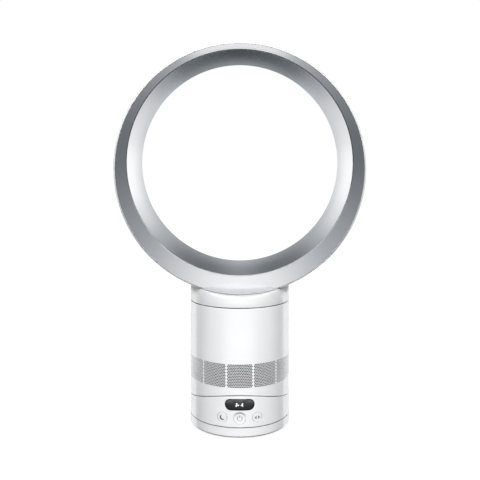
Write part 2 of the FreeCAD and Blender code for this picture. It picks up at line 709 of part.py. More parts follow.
def lug_angles():
    return [90 + 360 * i / LUG_COUNT for i in range(LUG_COUNT)]


def lock_slots():
    """L-shaped slots for the neck's lugs: in from the top, then along under a ledge."""
    half = LUG_HALF_ANGLE + LUG_END_GAP
    outer, inner = SPIGOT_R + LUG_OUT + LOCK_CLEARANCE, SPIGOT_R - SPIGOT_WALL
    low, high = LUG_LOW - LOCK_CLEARANCE, LUG_LOW + LUG_HEIGHT + LOCK_CLEARANCE
    slots = []
    for middle in lug_angles():
        start = middle - half
        slots.append(ring_sector(outer, inner, low, high, start, 2 * half + TWIST_ANGLE))
        slots.append(
            ring_sector(outer, inner, low, BODY_TOP + 1, start + TWIST_ANGLE, 2 * half)
        )
    return slots


def body_casing():
    """Outer shell of the body: saddle-cut foot, perforated intake and the bayonet's collar."""
    shell = tube(COLUMN_R, INNER_R, 0, BODY_TOP).common(across(BASE_R))
    collar = tube(INNER_R + CASING_WALL / 2, SPIGOT_R + LOCK_CLEARANCE, SPIGOT_LOW, BODY_TOP)
    return cut_away(fused(shell, collar), *grille_holes(), *lock_slots())


def pillar_angles():
    return (90, 210, 330)


def body_base():
    """Convex base that slides in the cradle, slotted for the rails, with its pillars."""
    inside_casing = cylinder(INNER_R - FIT, 0, TILT_Z)
    plate = arc_plate(BASE_R, BASE_INNER_R).common(inside_casing)
    half = SLOT_HALF_WIDTH
    along = (-SLOT_HALF_LENGTH, SLOT_HALF_LENGTH)
    slots = [
        block((side * RAIL_X - half, side * RAIL_X + half), along, (0, TILT_Z))
        for side in (-1, 1)
    ]
    reach = CABLE_R + TILT_SWING
    slots.append(block((-CABLE_R, CABLE_R), (-reach, reach), (0, TILT_Z)))
    above = across(BASE_INNER_R + BASE_PLATE / 2)
    pillar = post(POST_HALF, 0, PILLAR_TOP, PILLAR_CIRCLE_R)
    pillars = [turned(pillar, angle).common(above) for angle in pillar_angles()]
    place = MOTOR_BOARD_HALF - BOARD_POST_INSET
    posts = [
        post(BOARD_POST_HALF, 0, MOTOR_BOARD_Z, x, y).common(above)
        for x in (-place, place) for y in (-place, place)
    ]
    tab = block((-TAB_WIDTH / 2, TAB_WIDTH / 2), (INNER_R - TAB_THICK, INNER_R),
                (0, BASE_LOW_Z + TAB_RISE))
    tab = tab.common(inside_casing)
    tabs = [
        turned(tab, 360 * (i + 0.5) / TAB_COUNT).common(above) for i in range(TAB_COUNT)
    ]
    return fused(cut_away(plate, *slots), *pillars, *posts, *tabs)


def motor_board():
    """Drive electronics on the base's posts."""
    half, top = MOTOR_BOARD_HALF, MOTOR_BOARD_Z + BOARD
    board = block((-half, half), (-half, half), (MOTOR_BOARD_Z, top))
    edge = half - BOARD_PART_INSET
    back = edge - CHOKE_SIDE
    choke = block((-edge, -back), (back, edge), (top, top + CHOKE_HEIGHT))
    back = edge - CAPACITOR_SIDE
    capacitor = block((back, edge), (back, edge), (top, top + CAPACITOR_HEIGHT))
    heat_sink = block((-edge, edge), (-edge, HEAT_SINK_DEPTH - edge),
                      (top, top + HEAT_SINK_HEIGHT))
    return fused(board, choke, capacitor, heat_sink)


def isolators():
    """Rubber blocks between the pillars and the fan housing."""
    one = post(ISOLATOR_HALF, PILLAR_TOP, PILLAR_TOP + ISOLATOR_HEIGHT, PILLAR_CIRCLE_R)
    return Part.makeCompound([turned(one, angle) for angle in pillar_angles()])


def fan_housing():
    """Straight duct round the wheel, on three arms."""
    duct = tube(DUCT_R + DUCT_WALL, DUCT_R, DUCT_LOW, DUCT_TOP)
    arm = block((DUCT_R + DUCT_WALL / 2, PILLAR_CIRCLE_R + ISOLATOR_HALF),
                (-ARM_WIDTH / 2, ARM_WIDTH / 2), (WHEEL_LOW, WHEEL_LOW + ARM))
    return fused(duct, *[turned(arm, angle) for angle in pillar_angles()])


def plates(count, length, pitch, inner, outer, middle_z):
    """Flat sloping blades between two radii, spaced evenly round the axis."""
    plate = block((0, outer + 1), (-BLADE / 2, BLADE / 2), (-length / 2, length / 2))
    plate.rotate(Vector(0, 0, 0), Vector(1, 0, 0), 90 - pitch)
    plate.translate(Vector(0, 0, middle_z))
    plate = plate.common(tube(outer, inner, middle_z - length, middle_z + length))
    return [turned(blade, 360 * i / count) for i in range(count) for blade in plate.Solids
            if blade.BoundBox.XMin > 0]


def impeller():
    """Axial wheel: a hub with sloping blades that clear the duct's wall."""
    hub = tube(HUB_R, SHAFT_R, WHEEL_LOW, WHEEL_TOP)
    middle = WHEEL_LOW + WHEEL_HEIGHT / 2
    tip = DUCT_R - TIP_CLEARANCE
    blades = plates(BLADE_COUNT, BLADE_LENGTH, BLADE_ANGLE, HUB_R - BLADE_ROOT, tip, middle)
    return fused(hub, *blades)


def motor_shaft():
    return cylinder(SHAFT_R, WHEEL_LOW, POD_LOW + BEARING_DEPTH)


def diffuser():
    """Closed motor pod with guide vanes out to a ring that sits on the duct's upper edge."""
    bore, bore_top = SHAFT_R + RUN, POD_LOW + BEARING_DEPTH + FIT
    wall_top = DUCT_TOP + MOTOR_POD_RISE
    pod = upright_ring([
        (bore, POD_LOW), (HUB_R, POD_LOW), (HUB_R, wall_top),
        (HUB_R - MOTOR_POD_CHAMFER, wall_top + MOTOR_POD_CHAMFER),
        (0, wall_top + MOTOR_POD_CHAMFER), (0, bore_top), (bore, bore_top),
    ])
    ring_top = DUCT_TOP + SEAL_FLANGE
    ring = tube(DUCT_R + DUCT_WALL, DUCT_R - DUCT_WALL, DUCT_TOP, ring_top)
    middle = ring_top - VANE_LENGTH / 2
    vanes = plates(VANE_COUNT, VANE_LENGTH, 180 - VANE_ANGLE, HUB_R - BLADE_ROOT,
                   DUCT_R - FIT, middle)
    return fused(pod, ring, *vanes)


def duct_seal():
    """Flat rubber ring between the fan unit and the neck's spigot."""
    return tube(SPIGOT_R, DUCT_R - DUCT_WALL, DUCT_TOP + SEAL_FLANGE, SPIGOT_LOW - RUN)


# ---- neck and loop -------------------------------------------------------------------------
def outer_disc(radius):
    """Level cylinder about the outer wall's axis, longer than the column is deep."""
    start = Vector(0, -2 * COLUMN_R, OUTER_AXIS_Z)
    return Part.makeCylinder(radius, 4 * COLUMN_R, start, Vector(0, 1, 0))


def port(grow, low, high):
    """Upright oblong duct between neck and loop, with round corners."""
    x, y = PORT_HALF_X + grow, PORT_HALF_Y + grow
    duct = block((-x, x), (-y, y), (low, high))
    return duct.makeFillet(PORT_CORNER_R + grow, upright_edges(duct))


def neck():
    """Column piece saddle-cut to the loop, with the duct, a spigot and its lugs."""
    loop_low = OUTER_AXIS_Z - LOOP_R
    floor_top = NECK_LOW + NECK_FLOOR
    saddle_r = LOOP_R + NECK_GAP
    outside = cylinder(COLUMN_R, NECK_LOW, OUTER_AXIS_Z).cut(outer_disc(saddle_r))
    hollow = cylinder(INNER_R, floor_top, OUTER_AXIS_Z).cut(outer_disc(saddle_r + CASING_WALL))
    below_loop = block((-COLUMN_R, COLUMN_R), (-COLUMN_R, COLUMN_R), (0, OUTER_AXIS_Z))
    seat = port(NECK_SEAT, NECK_LOW, OUTER_AXIS_Z).cut(outer_disc(LOOP_R))
    seat = seat.common(outer_disc(saddle_r + CASING_WALL / 2)).common(below_loop)
    duct = port(-FIT, NECK_LOW, loop_low + PORT_RISE)
    spigot = tube(SPIGOT_R, SPIGOT_R - SPIGOT_WALL, SPIGOT_LOW, floor_top)
    lugs = [
        ring_sector(SPIGOT_R + LUG_OUT, SPIGOT_R - SPIGOT_WALL / 2, LUG_LOW,
                    LUG_LOW + LUG_HEIGHT, middle - LUG_HALF_ANGLE, 2 * LUG_HALF_ANGLE)
        for middle in lug_angles()
    ]
    solid = fused(outside.cut(hollow), seat, duct, spigot, *lugs)
    return solid.cut(port(-PORT_WALL, SPIGOT_LOW, OUTER_AXIS_Z))


def loop_outer_casing():
    """Back and outer wall of the loop: it wraps round to the lip behind the throat."""
    front, back, inside = LOOP_FRONT_Y, LOOP_BACK_Y, LOOP_BACK_Y - LOOP_WALL
    inner_r, flange_end = LOOP_R - LOOP_WALL, LOOP_FRONT_Y + RIM_FLANGE
    nose_start, nose_end = (back - NOSE_LENGTH, LOOP_R), (back, LOOP_R - NOSE_DEPTH)
    lip_start = (back - LIP_NOSE_LENGTH, LIP_R)
    lip_end = (back, LIP_R + LIP_NOSE_DEPTH)
    body = loop_ring([
        (front, 0), (front, RIM_R), (front + RIM_DEPTH, LOOP_R), nose_start,
        *rounding(nose_start, nose_end, (back, LOOP_R)), (back, 0),
    ], OUTER_AXIS_Z)
    hole = loop_ring([
        (front - 1, 0), (front - 1, LIP_R), lip_start,
        *rounding(lip_start, lip_end, (back, LIP_R)), (back + 1, LIP_R + LIP_NOSE_DEPTH),
        (back + 1, 0),
    ], AIR_AXIS_Z)
    cavity = loop_ring([
        (front - 1, 0), (front - 1, RIM_R), (flange_end, RIM_R), (flange_end, inner_r),
        (nose_start[0], inner_r), (inside, nose_end[1] - LOOP_WALL / 2), (inside, 0),
    ], OUTER_AXIS_Z)
    lip_outer_r = LIP_R + LIP_WALL
    kept = loop_ring([
        (LIP_FRONT_Y, 0), (LIP_FRONT_Y, lip_outer_r), (lip_start[0], lip_outer_r),
        (inside, lip_end[1] + LIP_WALL / 2), (inside + 1, lip_end[1]), (inside + 1, 0),
    ], AIR_AXIS_Z)
    port_hole = port(0, NECK_LOW, OUTER_AXIS_Z - LIP_R)
    shell = cut_away(body, hole, cavity.cut(kept), port_hole)
    return fused(shell, *slit_spacers())


def slit_spacers():
    """Small ribs on the lip that hold the slit open."""
    half = SPACER_WIDTH / 2
    one = block((-half, half), (LIP_FRONT_Y, LIP_FRONT_Y + SLIT_LENGTH),
                (SLIT_R - SLIT - LIP_WALL / 2, SLIT_R - FIT))
    made = []
    for i in range(SPACER_COUNT):
        rib = one.copy()
        rib.rotate(Vector(0, 0, 0), Vector(0, 1, 0), 360 * (i + 0.5) / SPACER_COUNT)
        rib.translate(Vector(0, 0, AIR_AXIS_Z))
        made.append(rib)
    return made


def flow_curve(from_y, from_r, steps):
    """Points from (from_y, from_r) to the throat on an arc that is level at the throat."""
    span, rise = THROAT_Y - from_y, from_r - THROAT_R
    radius = (span ** 2 + rise ** 2) / (2 * rise)
    points = []
    for i in range(steps + 1):
        away = span * (1 - i / steps)
        points.append((THROAT_Y - away, THROAT_R + radius - sqrt(radius ** 2 - away ** 2)))
    return points


def bevel_cone(shift):
    """Oblique cone between the ridge about the air axis and the rim about the outer axis."""
    def ring(y, z, radius):
        return Part.Wire(Part.Circle(Vector(0, y, z), Vector(0, 1, 0), radius).toShape())

    ridge = ring(RIDGE_Y + shift, AIR_AXIS_Z, RIDGE_R + RIDGE_FLAT)
    rim = ring(LOOP_FRONT_Y + shift, OUTER_AXIS_Z, RIM_R - FIT)
    return Part.makeLoft([ridge, rim], True, True)


def loop_front_casing():
    """Bright inner part of the loop: bevel, ridge, ramp, throat and the slit's inner wall."""
    wall = FRONT_WALL
    slit_end = LIP_FRONT_Y + SLIT_LENGTH
    ramp = flow_curve(RIDGE_Y, RIDGE_R, RAMP_STEPS)
    behind = flow_curve(LIP_FRONT_Y, SLIT_R, ROUND_STEPS)
    profile = loop_ring([
        *ramp, *reversed(behind[:-1]), (slit_end, SLIT_R), (slit_end, SLIT_R + wall),
        (THROAT_Y, THROAT_R + wall), (RIDGE_Y + 2 * wall, RIDGE_R + wall),
        (RIDGE_Y, RIDGE_R + RIDGE_FLAT),
    ], AIR_AXIS_Z)
    air = Part.makeCylinder(RIDGE_R, 2 * wall + 1, Vector(0, RIDGE_Y, AIR_AXIS_Z), Vector(0, 1, 0))
    bevel = bevel_cone(0).cut(bevel_cone(wall)).cut(air)
    flange = loop_ring([
        (LOOP_FRONT_Y + wall / 2, RIM_R - FIT - wall), (LOOP_FRONT_Y + wall / 2, RIM_R - FIT),
        (LOOP_FRONT_Y + RIM_FLANGE, RIM_R - FIT),
        (LOOP_FRONT_Y + RIM_FLANGE, RIM_R - FIT - wall),
    ], OUTER_AXIS_Z)
    return fused(profile, bevel, flange)


# ---- all pieces ----------------------------------------------------------------------------
os.makedirs("parts", exist_ok=True)
for make in (
    foot_base, power_socket, foot_pads, glide_blocks, spindle_nut, swing_gear, drive_pinion,
    swing_motor, control_casing, display_window, control_floor, board_bracket, display_board,
    switch_board, tilt_cradle, rail_keepers, tilt_glides, body_casing, body_base, motor_board,
    isolators, fan_housing, impeller, motor_shaft, diffuser, duct_seal, neck,
    loop_outer_casing, loop_front_casing,
):
    save(make.__name__, make())
for name, x, radius in buttons():
    save(name, button(x, radius))
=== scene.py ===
import json
from math import cos, pi, radians, sin, sqrt

import bpy
import numpy as np
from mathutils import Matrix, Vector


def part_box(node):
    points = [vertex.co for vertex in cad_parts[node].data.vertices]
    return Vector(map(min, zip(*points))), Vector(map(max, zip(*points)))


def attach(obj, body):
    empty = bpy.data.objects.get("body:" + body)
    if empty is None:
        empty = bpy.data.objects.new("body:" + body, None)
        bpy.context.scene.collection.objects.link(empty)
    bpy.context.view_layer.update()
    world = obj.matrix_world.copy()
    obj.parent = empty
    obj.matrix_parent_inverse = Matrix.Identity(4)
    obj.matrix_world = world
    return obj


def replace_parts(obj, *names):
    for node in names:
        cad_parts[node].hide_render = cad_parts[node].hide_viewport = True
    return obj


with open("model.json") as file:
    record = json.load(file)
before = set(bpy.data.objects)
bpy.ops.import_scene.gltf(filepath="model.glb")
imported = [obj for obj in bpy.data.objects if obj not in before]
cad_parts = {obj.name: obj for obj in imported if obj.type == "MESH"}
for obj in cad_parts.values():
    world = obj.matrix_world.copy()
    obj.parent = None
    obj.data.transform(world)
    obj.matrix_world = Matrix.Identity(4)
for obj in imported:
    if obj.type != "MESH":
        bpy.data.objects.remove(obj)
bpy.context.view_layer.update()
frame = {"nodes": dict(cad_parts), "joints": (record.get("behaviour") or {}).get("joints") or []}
MM = 0.001


# ---- studio ---------------------------------------------------------------------------------
# A pale floor and a white surround. One large soft light stands high in front, two stand behind,
# a weak one hangs above, and a narrow spot lights the neck. Gloss sees a surround of its own: soft
# boxes in front and behind, with dark flags to the left and right.
def node(tree, kind, inputs=None, **settings):
    """New node. settings are its properties; inputs gives each socket a value or a link."""
    made = tree.nodes.new("ShaderNode" + kind)
    for key, value in settings.items():
        setattr(made, key, value)
    for key, value in (inputs or {}).items():
        if isinstance(value, bpy.types.NodeSocket):
            tree.links.new(value, made.inputs[key])
        else:
            made.inputs[key].default_value = value
    return made


def sums(tree, operation, *values):
    """Output of a math node on these values or sockets."""
    return node(tree, "Math", dict(enumerate(values)), operation=operation).outputs[0]


def ramp(tree, value, stops):
    """Ramp that eases through (place, level or colour) stops. Returns its colour output."""
    made = node(tree, "ValToRGB", {0: value})
    made.color_ramp.interpolation = "EASE"
    band = made.color_ramp.elements
    while len(band) < len(stops):
        band.new(0.5)
    for stop, (place, level) in zip(band, stops):
        stop.position = place
        stop.color = (*(level if isinstance(level, tuple) else (level,) * 3), 1)
    return made.outputs[0]


def mixed(tree, share, first, second):
    """Colour between first and second."""
    made = node(tree, "Mix", {0: share, 6: first, 7: second}, data_type="RGBA")
    return made.outputs[2]


camera = bpy.data.cameras.new("front_view")
camera.lens = 50.6
camera.shift_y = -0.1531
viewer = bpy.data.objects.new("front_view", camera)
viewer.location = (0.0003, -0.8645, 0.3245)
viewer.rotation_euler = (pi / 2, 0, 0)
bpy.context.scene.collection.objects.link(viewer)
bpy.context.scene.camera = viewer
bpy.context.scene.view_settings.view_transform = "Standard"

world = bpy.data.worlds.new("surround")
bpy.context.scene.world = world
world.use_nodes = True
sky = world.node_tree
sky.nodes.clear()
split = node(sky, "SeparateXYZ", {0: node(sky, "TexCoord").outputs["Generated"]}).outputs
sideways = sums(sky, "ABSOLUTE", split[0])
# shares of half a turn: from the back to the front, and from below, over the side, to above
from_back = sums(sky, "DIVIDE", sums(sky, "ARCCOSINE", split[1]), pi)
from_below = sums(sky, "DIVIDE", sums(sky, "ARCTAN2", sideways,
                                      sums(sky, "MULTIPLY", split[2], -1.0)), pi)


def panorama(levels):
    """Levels from straight below, over the side, to straight above.

    The further a level is below 1, the cooler it is: red falls by 8 % of that and blue rises by
    10 %.
    """
    stops = []
    for k, level in enumerate(levels):
        dim = max(1 - level, 0)
        tint = level * (1 - 0.08 * dim), level, level * (1 + 0.1 * dim)
        stops.append((k / (len(levels) - 1), tint))
    return ramp(sky, from_below, stops)


near_back = panorama([0.34, 0.33, 0.32, 0.58, 0.7, 0.7, 0.86, 0.79, 0.65, 0.49, 0.34, 0.38, 0.56])
round_back = panorama([0.07, 0.1, 0.16, 0.45, 0.82, 0.97, 1.27, 1.27, 0.93, 0.5, 0.2, 0.17, 0.34])
ahead = panorama([1.26, 1.12, 0.78, 0.51, 0.39, 0.28, 0.2, 0.19, 0.25, 0.36, 0.52, 1.15, 1.2])
flank = panorama([0.03, 0.03, 0.1, 0.3, 0.8, 1.3, 1.35, 1.3, 0.9, 0.4, 0.2, 0.4, 0.5])
box_level = 3.0
box_width = ramp(sky, sideways, [(0.1, 1.0), (0.46, 0.9), (0.54, 0.5), (0.75, 0.4), (0.85, 0.15)])
raised = sums(sky, "ADD", split[2], 1.0)
box_height = ramp(sky, raised, [(0.615, 0.0), (0.632, 0.45), (0.645, 0.6), (0.66, 0.02),
                                (0.685, 1.0), (0.775, 1.0), (0.805, 0.01)])
soft_box = sums(sky, "MULTIPLY", sums(sky, "MULTIPLY", box_width, box_height), box_level)
gloss_level = near_back
for start, end, zone in ((0.07, 0.21, round_back), (0.26, 0.33, flank), (0.38, 0.415, ahead),
                         (0.74, 0.79, soft_box)):
    gloss_level = mixed(sky, ramp(sky, from_back, [(start, 0.0), (end, 1.0)]), gloss_level, zone)
path = node(sky, "LightPath").outputs
soft = node(sky, "Background", {"Color": (1, 1, 1, 1), "Strength": 0.05}).outputs[0]
gloss = node(sky, "Background", {"Color": gloss_level, "Strength": 1.0}).outputs[0]
white = node(sky, "Background", {"Color": (1, 1, 1, 1), "Strength": 1.0}).outputs[0]
shine = sums(sky, "MAXIMUM", path["Is Glossy Ray"], path["Is Transmission Ray"])
surround = node(sky, "MixShader", {0: shine, 1: soft, 2: gloss}).outputs[0]
surround = node(sky, "MixShader", {0: path["Is Camera Ray"], 1: surround, 2: white}).outputs[0]
node(sky, "OutputWorld", {0: surround})


def hung(lamp, place, turned):
    """Puts a lamp in its place. Gloss doesn't show it."""
    held = bpy.data.objects.new(lamp.name, lamp)
    held.location, held.rotation_euler = place, turned
    held.visible_glossy = False
    bpy.context.scene.collection.objects.link(held)


def soft_light(name, place, turned, size, watts):
    """Rectangular area light."""
    lamp = bpy.data.lights.new(name, "AREA")
    lamp.shape, lamp.size, lamp.size_y, lamp.energy = "RECTANGLE", size[0], size[1], watts
    hung(lamp, place, turned)


soft_light("front_light", (0, -1.81, 1.62), (radians(52), 0, 0), (1.2, 1.0), 66)
soft_light("top_light", (0, -0.5, 2.2), (radians(-13), 0, 0), (1.6, 1.2), 5)
for side in (-1, 1):
    soft_light("rear_light", (side * 0.82, 2.04, 1.3), (radians(63), 0, radians(180 - side * 22)),
               (0.5, 0.9), 27)

spot = bpy.data.lights.new("neck_light", "SPOT")
spot.energy, spot.spot_size, spot.spot_blend, spot.shadow_soft_size = 34, radians(6), 1.0, 0.03
hung(spot, (0, -0.16, 1.7), (radians(3.8), 0, 0))

# A white card bent round behind the column, brightest at its two edges. Only gloss shows it.
# It leaves a slot right behind the column.
card_r, card_low, card_high, half_steps = 0.2, -0.09, 0.135, 14
card_turns = np.radians(np.concatenate([np.linspace(105, 170, half_steps),
                                        np.linspace(190, 255, half_steps)]))
card_mesh = bpy.data.meshes.new("card")
card_mesh.from_pydata([(card_r * sin(t), -card_r * cos(t), z)
                       for t in card_turns for z in (card_low, card_high)], [],
                      [(2 * k, 2 * k + 2, 2 * k + 3, 2 * k + 1)
                       for k in range(2 * half_steps - 1) if k != half_steps - 1])
card = bpy.data.objects.new("card", card_mesh)
bpy.context.scene.collection.objects.link(card)
for ray in ("camera", "diffuse", "transmission", "volume_scatter", "shadow"):
    setattr(card, "visible_" + ray, False)
lit_card = bpy.data.materials.new("lit_card")
lit_card.use_nodes = True
tree = lit_card.node_tree
tree.nodes.clear()
aside = node(tree, "SeparateXYZ", {0: node(tree, "TexCoord").outputs["Object"]}).outputs[0]
card_level = ramp(tree, sums(tree, "MULTIPLY", sums(tree, "ABSOLUTE", aside), 4.0),
                  [(0.24, 0.3), (0.4, 0.33), (0.53, 0.5), (0.64, 0.7), (0.75, 0.95)])
card_glow = node(tree, "Emission", {"Color": card_level, "Strength": 3.15}).outputs[0]
node(tree, "OutputMaterial", {0: card_glow})
card_mesh.materials.append(lit_card)

# The floor sends little light back up at the object. The camera sees it glow white, less so close
# to the foot, where the shadow stays.
floor_mesh = bpy.data.meshes.new("floor")
half = 6.0
floor_mesh.from_pydata([(-half, -half, 0), (half, -half, 0), (half, half, 0), (-half, half, 0)],
                       [], [(0, 1, 2, 3)])
ground = bpy.data.objects.new("floor", floor_mesh)
bpy.context.scene.collection.objects.link(ground)
ground.visible_glossy = False
paper = bpy.data.materials.new("pale_paper")
paper.use_nodes = True
tree = paper.node_tree
tree.nodes.clear()
grain = node(tree, "TexNoise", {"Vector": node(tree, "TexCoord").outputs["Object"],
                                "Scale": 40.0, "Detail": 3.0}).outputs["Fac"]
sheet_colour = ramp(tree, grain, [(0.3, 0.86), (0.7, 0.9)])
seen = node(tree, "LightPath").outputs["Is Camera Ray"]
sheet_colour = mixed(tree, seen, (0.22, 0.22, 0.22, 1), sheet_colour)
matt = node(tree, "BsdfDiffuse", {"Color": sheet_colour}).outputs[0]
glow = node(tree, "Emission", {"Color": (1, 1, 1, 1), "Strength": 1.05}).outputs[0]
away = node(tree, "VectorMath", {0: node(tree, "TexCoord").outputs["Object"]},
            operation="LENGTH").outputs["Value"]
share = ramp(tree, away, [(0.065, 0.8), (0.085, 1.0)])
lit = node(tree, "MixShader", {0: sums(tree, "MULTIPLY", seen, share), 1: matt, 2: glow})
node(tree, "OutputMaterial", {0: lit.outputs[0]})
floor_mesh.materials.append(paper)


# ---- foot -----------------------------------------------------------------------------------
# A moulded dish of glossy white ABS on four rubber pads, with a hollow spindle in its middle.
# The power socket clips in behind a window in its back wall; low-friction blocks stand inside.
def skin_group():
    """Shared surface of a moulding: a slow drift of tone and a fine unevenness as a normal."""
    group = bpy.data.node_groups.new("moulded_skin", "ShaderNodeTree")
    for name, kind, way in (("Scale", "Float", "INPUT"), ("Depth", "Float", "INPUT"),
                            ("Tone", "Float", "OUTPUT"), ("Normal", "Vector", "OUTPUT")):
        group.interface.new_socket(name=name, in_out=way, socket_type="NodeSocket" + kind)
    entry = group.nodes.new("NodeGroupInput")
    place = node(group, "TexCoord").outputs["Object"]
    drift = node(group, "TexNoise", {"Vector": place, "Scale": 9.0, "Detail": 2.0})
    fine = node(group, "TexNoise", {"Vector": place, "Scale": entry.outputs["Scale"],
                                    "Detail": 4.0, "Roughness": 0.6})
    tone = sums(group, "ADD", sums(group, "MULTIPLY", drift.outputs[0], 0.6),
                sums(group, "MULTIPLY", fine.outputs[0], 0.4))
    relief = node(group, "Bump", {"Strength": entry.outputs["Depth"], "Distance": 0.0005,
                                  "Height": fine.outputs[0]})
    leave = group.nodes.new("NodeGroupOutput")
    group.links.new(tone, leave.inputs["Tone"])
    group.links.new(relief.outputs[0], leave.inputs["Normal"])
    return group


moulded_skin = skin_group()


def moulded(name, dark, light, rough, scale=900.0, depth=0.1, metal=0.0):
    """Material of a moulded or lacquered piece: colour and roughness drift between two values."""
    made = bpy.data.materials.new(name)
    made.use_nodes = True
    tree = made.node_tree
    face = tree.nodes["Principled BSDF"]
    skin = node(tree, "Group", {}, node_tree=moulded_skin)
    skin.inputs["Scale"].default_value = scale
    skin.inputs["Depth"].default_value = depth
    tone = skin.outputs["Tone"]
    tree.links.new(ramp(tree, tone, [(0.3, dark), (0.7, light)]), face.inputs["Base Color"])
    tree.links.new(ramp(tree, tone, [(0.3, rough[0]), (0.7, rough[1])]), face.inputs["Roughness"])
    tree.links.new(skin.outputs["Normal"], face.inputs["Normal"])
    face.inputs["Metallic"].default_value = metal
    return made


def finished(material, *names):
    """Gives CAD nodes a material."""
    for name in names:
        mesh = frame["nodes"][name].data
        mesh.materials.clear()
        mesh.materials.append(material)


white_abs = moulded("white_abs", (0.86, 0.865, 0.88), (0.9, 0.905, 0.915), (0.16, 0.2),
                    scale=500.0, depth=0.03)
dark_plastic = moulded("dark_plastic", (0.018, 0.018, 0.02), (0.03, 0.03, 0.032), (0.4, 0.5))
rubber = moulded("rubber", (0.012, 0.012, 0.012), (0.03, 0.03, 0.03), (0.7, 0.85), depth=0.6)
acetal = moulded("acetal", (0.72, 0.71, 0.68), (0.8, 0.79, 0.76), (0.3, 0.4))
finished(white_abs, "foot_base")
finished(dark_plastic, "power_socket", "spindle_nut")
finished(rubber, "foot_pads")
finished(acetal, "glide_blocks")


# ---- swing drive ----------------------------------------------------------------------------
# A toothed sector on the foot's floor and a pinion that rolls round it, both cut from acetal.
# The pinion sits on the shaft of a geared motor in a dark plastic case.
motor_case = moulded("motor_case", (0.03, 0.03, 0.035), (0.05, 0.05, 0.055), (0.35, 0.45))
finished(acetal, "swing_gear", "drive_pinion")
finished(motor_case, "swing_motor")


# ---- inside of the control section ----------------------------------------------------------
# Grey glass-filled mouldings: the floor with its hub, the tilt cradle and its keepers, the board
# bracket. Only the cradle's deck ever shows, at full tilt. The boards are green laminate.
grey_nylon = moulded("grey_nylon", (0.16, 0.165, 0.17), (0.22, 0.225, 0.23), (0.5, 0.6),
                     depth=0.3)
laminate = moulded("laminate", (0.01, 0.07, 0.03), (0.02, 0.11, 0.05), (0.3, 0.4),
                   scale=2500.0, depth=0.4)
finished(grey_nylon, "control_floor", "board_bracket", "tilt_cradle", "rail_keepers")
finished(acetal, "tilt_glides")
finished(laminate, "display_board", "switch_board")


# ---- control casing -------------------------------------------------------------------------
# Short white shell with a saddle-cut top edge, in which the body rocks. Its front wall has a
# window opening and three round holes, all with a small radius moulded round them.
def sheet(grid, openings=(), closed=True):
    """Points and quads over a grid of points (across, along, xyz).

    closed joins the last column to the first. An opening is (i0, i1, j0, j1, rings): that block
    of quads gives way to quads between its border and the rings, where rings(border) gives
    arrays of points, each as many as the border's, from the outside in.
    """
    across, along = grid.shape[:2]
    number = np.arange(across * along).reshape(across, along)
    here = number if closed else number[:-1]
    there = np.roll(number, -1, 0) if closed else number[1:]
    quads = np.stack([here[:, :-1], there[:, :-1], there[:, 1:], here[:, 1:]], -1)
    kept = np.ones(quads.shape[:2], bool)
    points, added = [grid.reshape(-1, 3)], []
    for i0, i1, j0, j1, rings in openings:
        kept[i0:i1, j0:j1] = False
        border = np.concatenate([number[i0:i1, j0], number[i1, j0:j1],
                                 number[i1:i0:-1, j1], number[i0, j1:j0:-1]])
        outer = border
        for ring in rings(points[0][border]):
            inner = np.arange(len(ring)) + sum(len(p) for p in points)
            points.append(ring)
            added.append(np.stack([outer, np.roll(outer, -1), np.roll(inner, -1), inner], -1))
            outer = inner
    return np.concatenate(points), np.concatenate([quads[kept], *added])


def shell(outer, inner, quads):
    """Closed wall between two sheets with the same quads: each open edge is bridged."""
    count = len(outer)
    start, end = quads.ravel(), np.roll(quads, -1, 1).ravel()
    once = ~np.isin(start * count + end, end * count + start)
    a, b = start[once], end[once]
    bridge = np.stack([b, a, a + count, b + count], -1)
    faces = np.concatenate([quads, quads[:, ::-1] + count, bridge])
    points = np.concatenate([outer, inner])
    used = np.unique(faces)
    place = np.zeros(len(points), int)
    place[used] = np.arange(len(used))
    return points[used], place[faces]


def piece(name, parts, material, body, lining=None):
    """Object from (points, quads) parts, smooth except at edges over 32 degrees.

    lining is a second material and the slice of the quads that have it.
    """
    points, quads, count = [], [], 0
    for some, faces in parts:
        points.append(some)
        quads.append(faces + count)
        count += len(some)
    points, quads = np.concatenate(points), np.concatenate(quads)
    mesh = bpy.data.meshes.new(name)
    mesh.vertices.add(len(points))
    mesh.vertices.foreach_set("co", points.astype(np.float32).ravel())
    mesh.loops.add(quads.size)
    mesh.loops.foreach_set("vertex_index", quads.astype(np.int32).ravel())
    mesh.polygons.add(len(quads))
    mesh.polygons.foreach_set("loop_start", np.arange(0, quads.size, 4, dtype=np.int32))
    mesh.update(calc_edges=True)
    mesh.validate()
    mesh.shade_smooth()
    mesh.set_sharp_from_angle(angle=radians(32))
    mesh.materials.append(material)
    if lining:
        mesh.materials.append(lining[0])
        second = np.zeros(len(quads), np.int32)
        second[lining[1]] = 1
        mesh.polygons.foreach_set("material_index", second)
    made = bpy.data.objects.new(name, mesh)
    bpy.context.scene.collection.objects.link(made)
    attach(made, body)
    return made


def oblong(half_x, half_y, corner):
    """Reach from the centre to a rectangle with round corners, as a function of direction.

    It is the distance to the nearer straight side, or to the corner's circle where that side
    has given way to it. Equal sizes make a circle.
    """
    far_x, far_y = half_x - corner, half_y - corner

    def reach(angle):
        c, s = np.abs(np.cos(angle)), np.abs(np.sin(angle))
        side = np.minimum(half_x / np.maximum(c, 1e-9), half_y / np.maximum(s, 1e-9))
        along = far_x * c + far_y * s
        bow = along + np.sqrt(np.maximum(along ** 2 - far_x ** 2 - far_y ** 2 + corner ** 2, 0))
        return np.where((side * c > far_x) & (side * s > far_y), bow, side)

    return reach


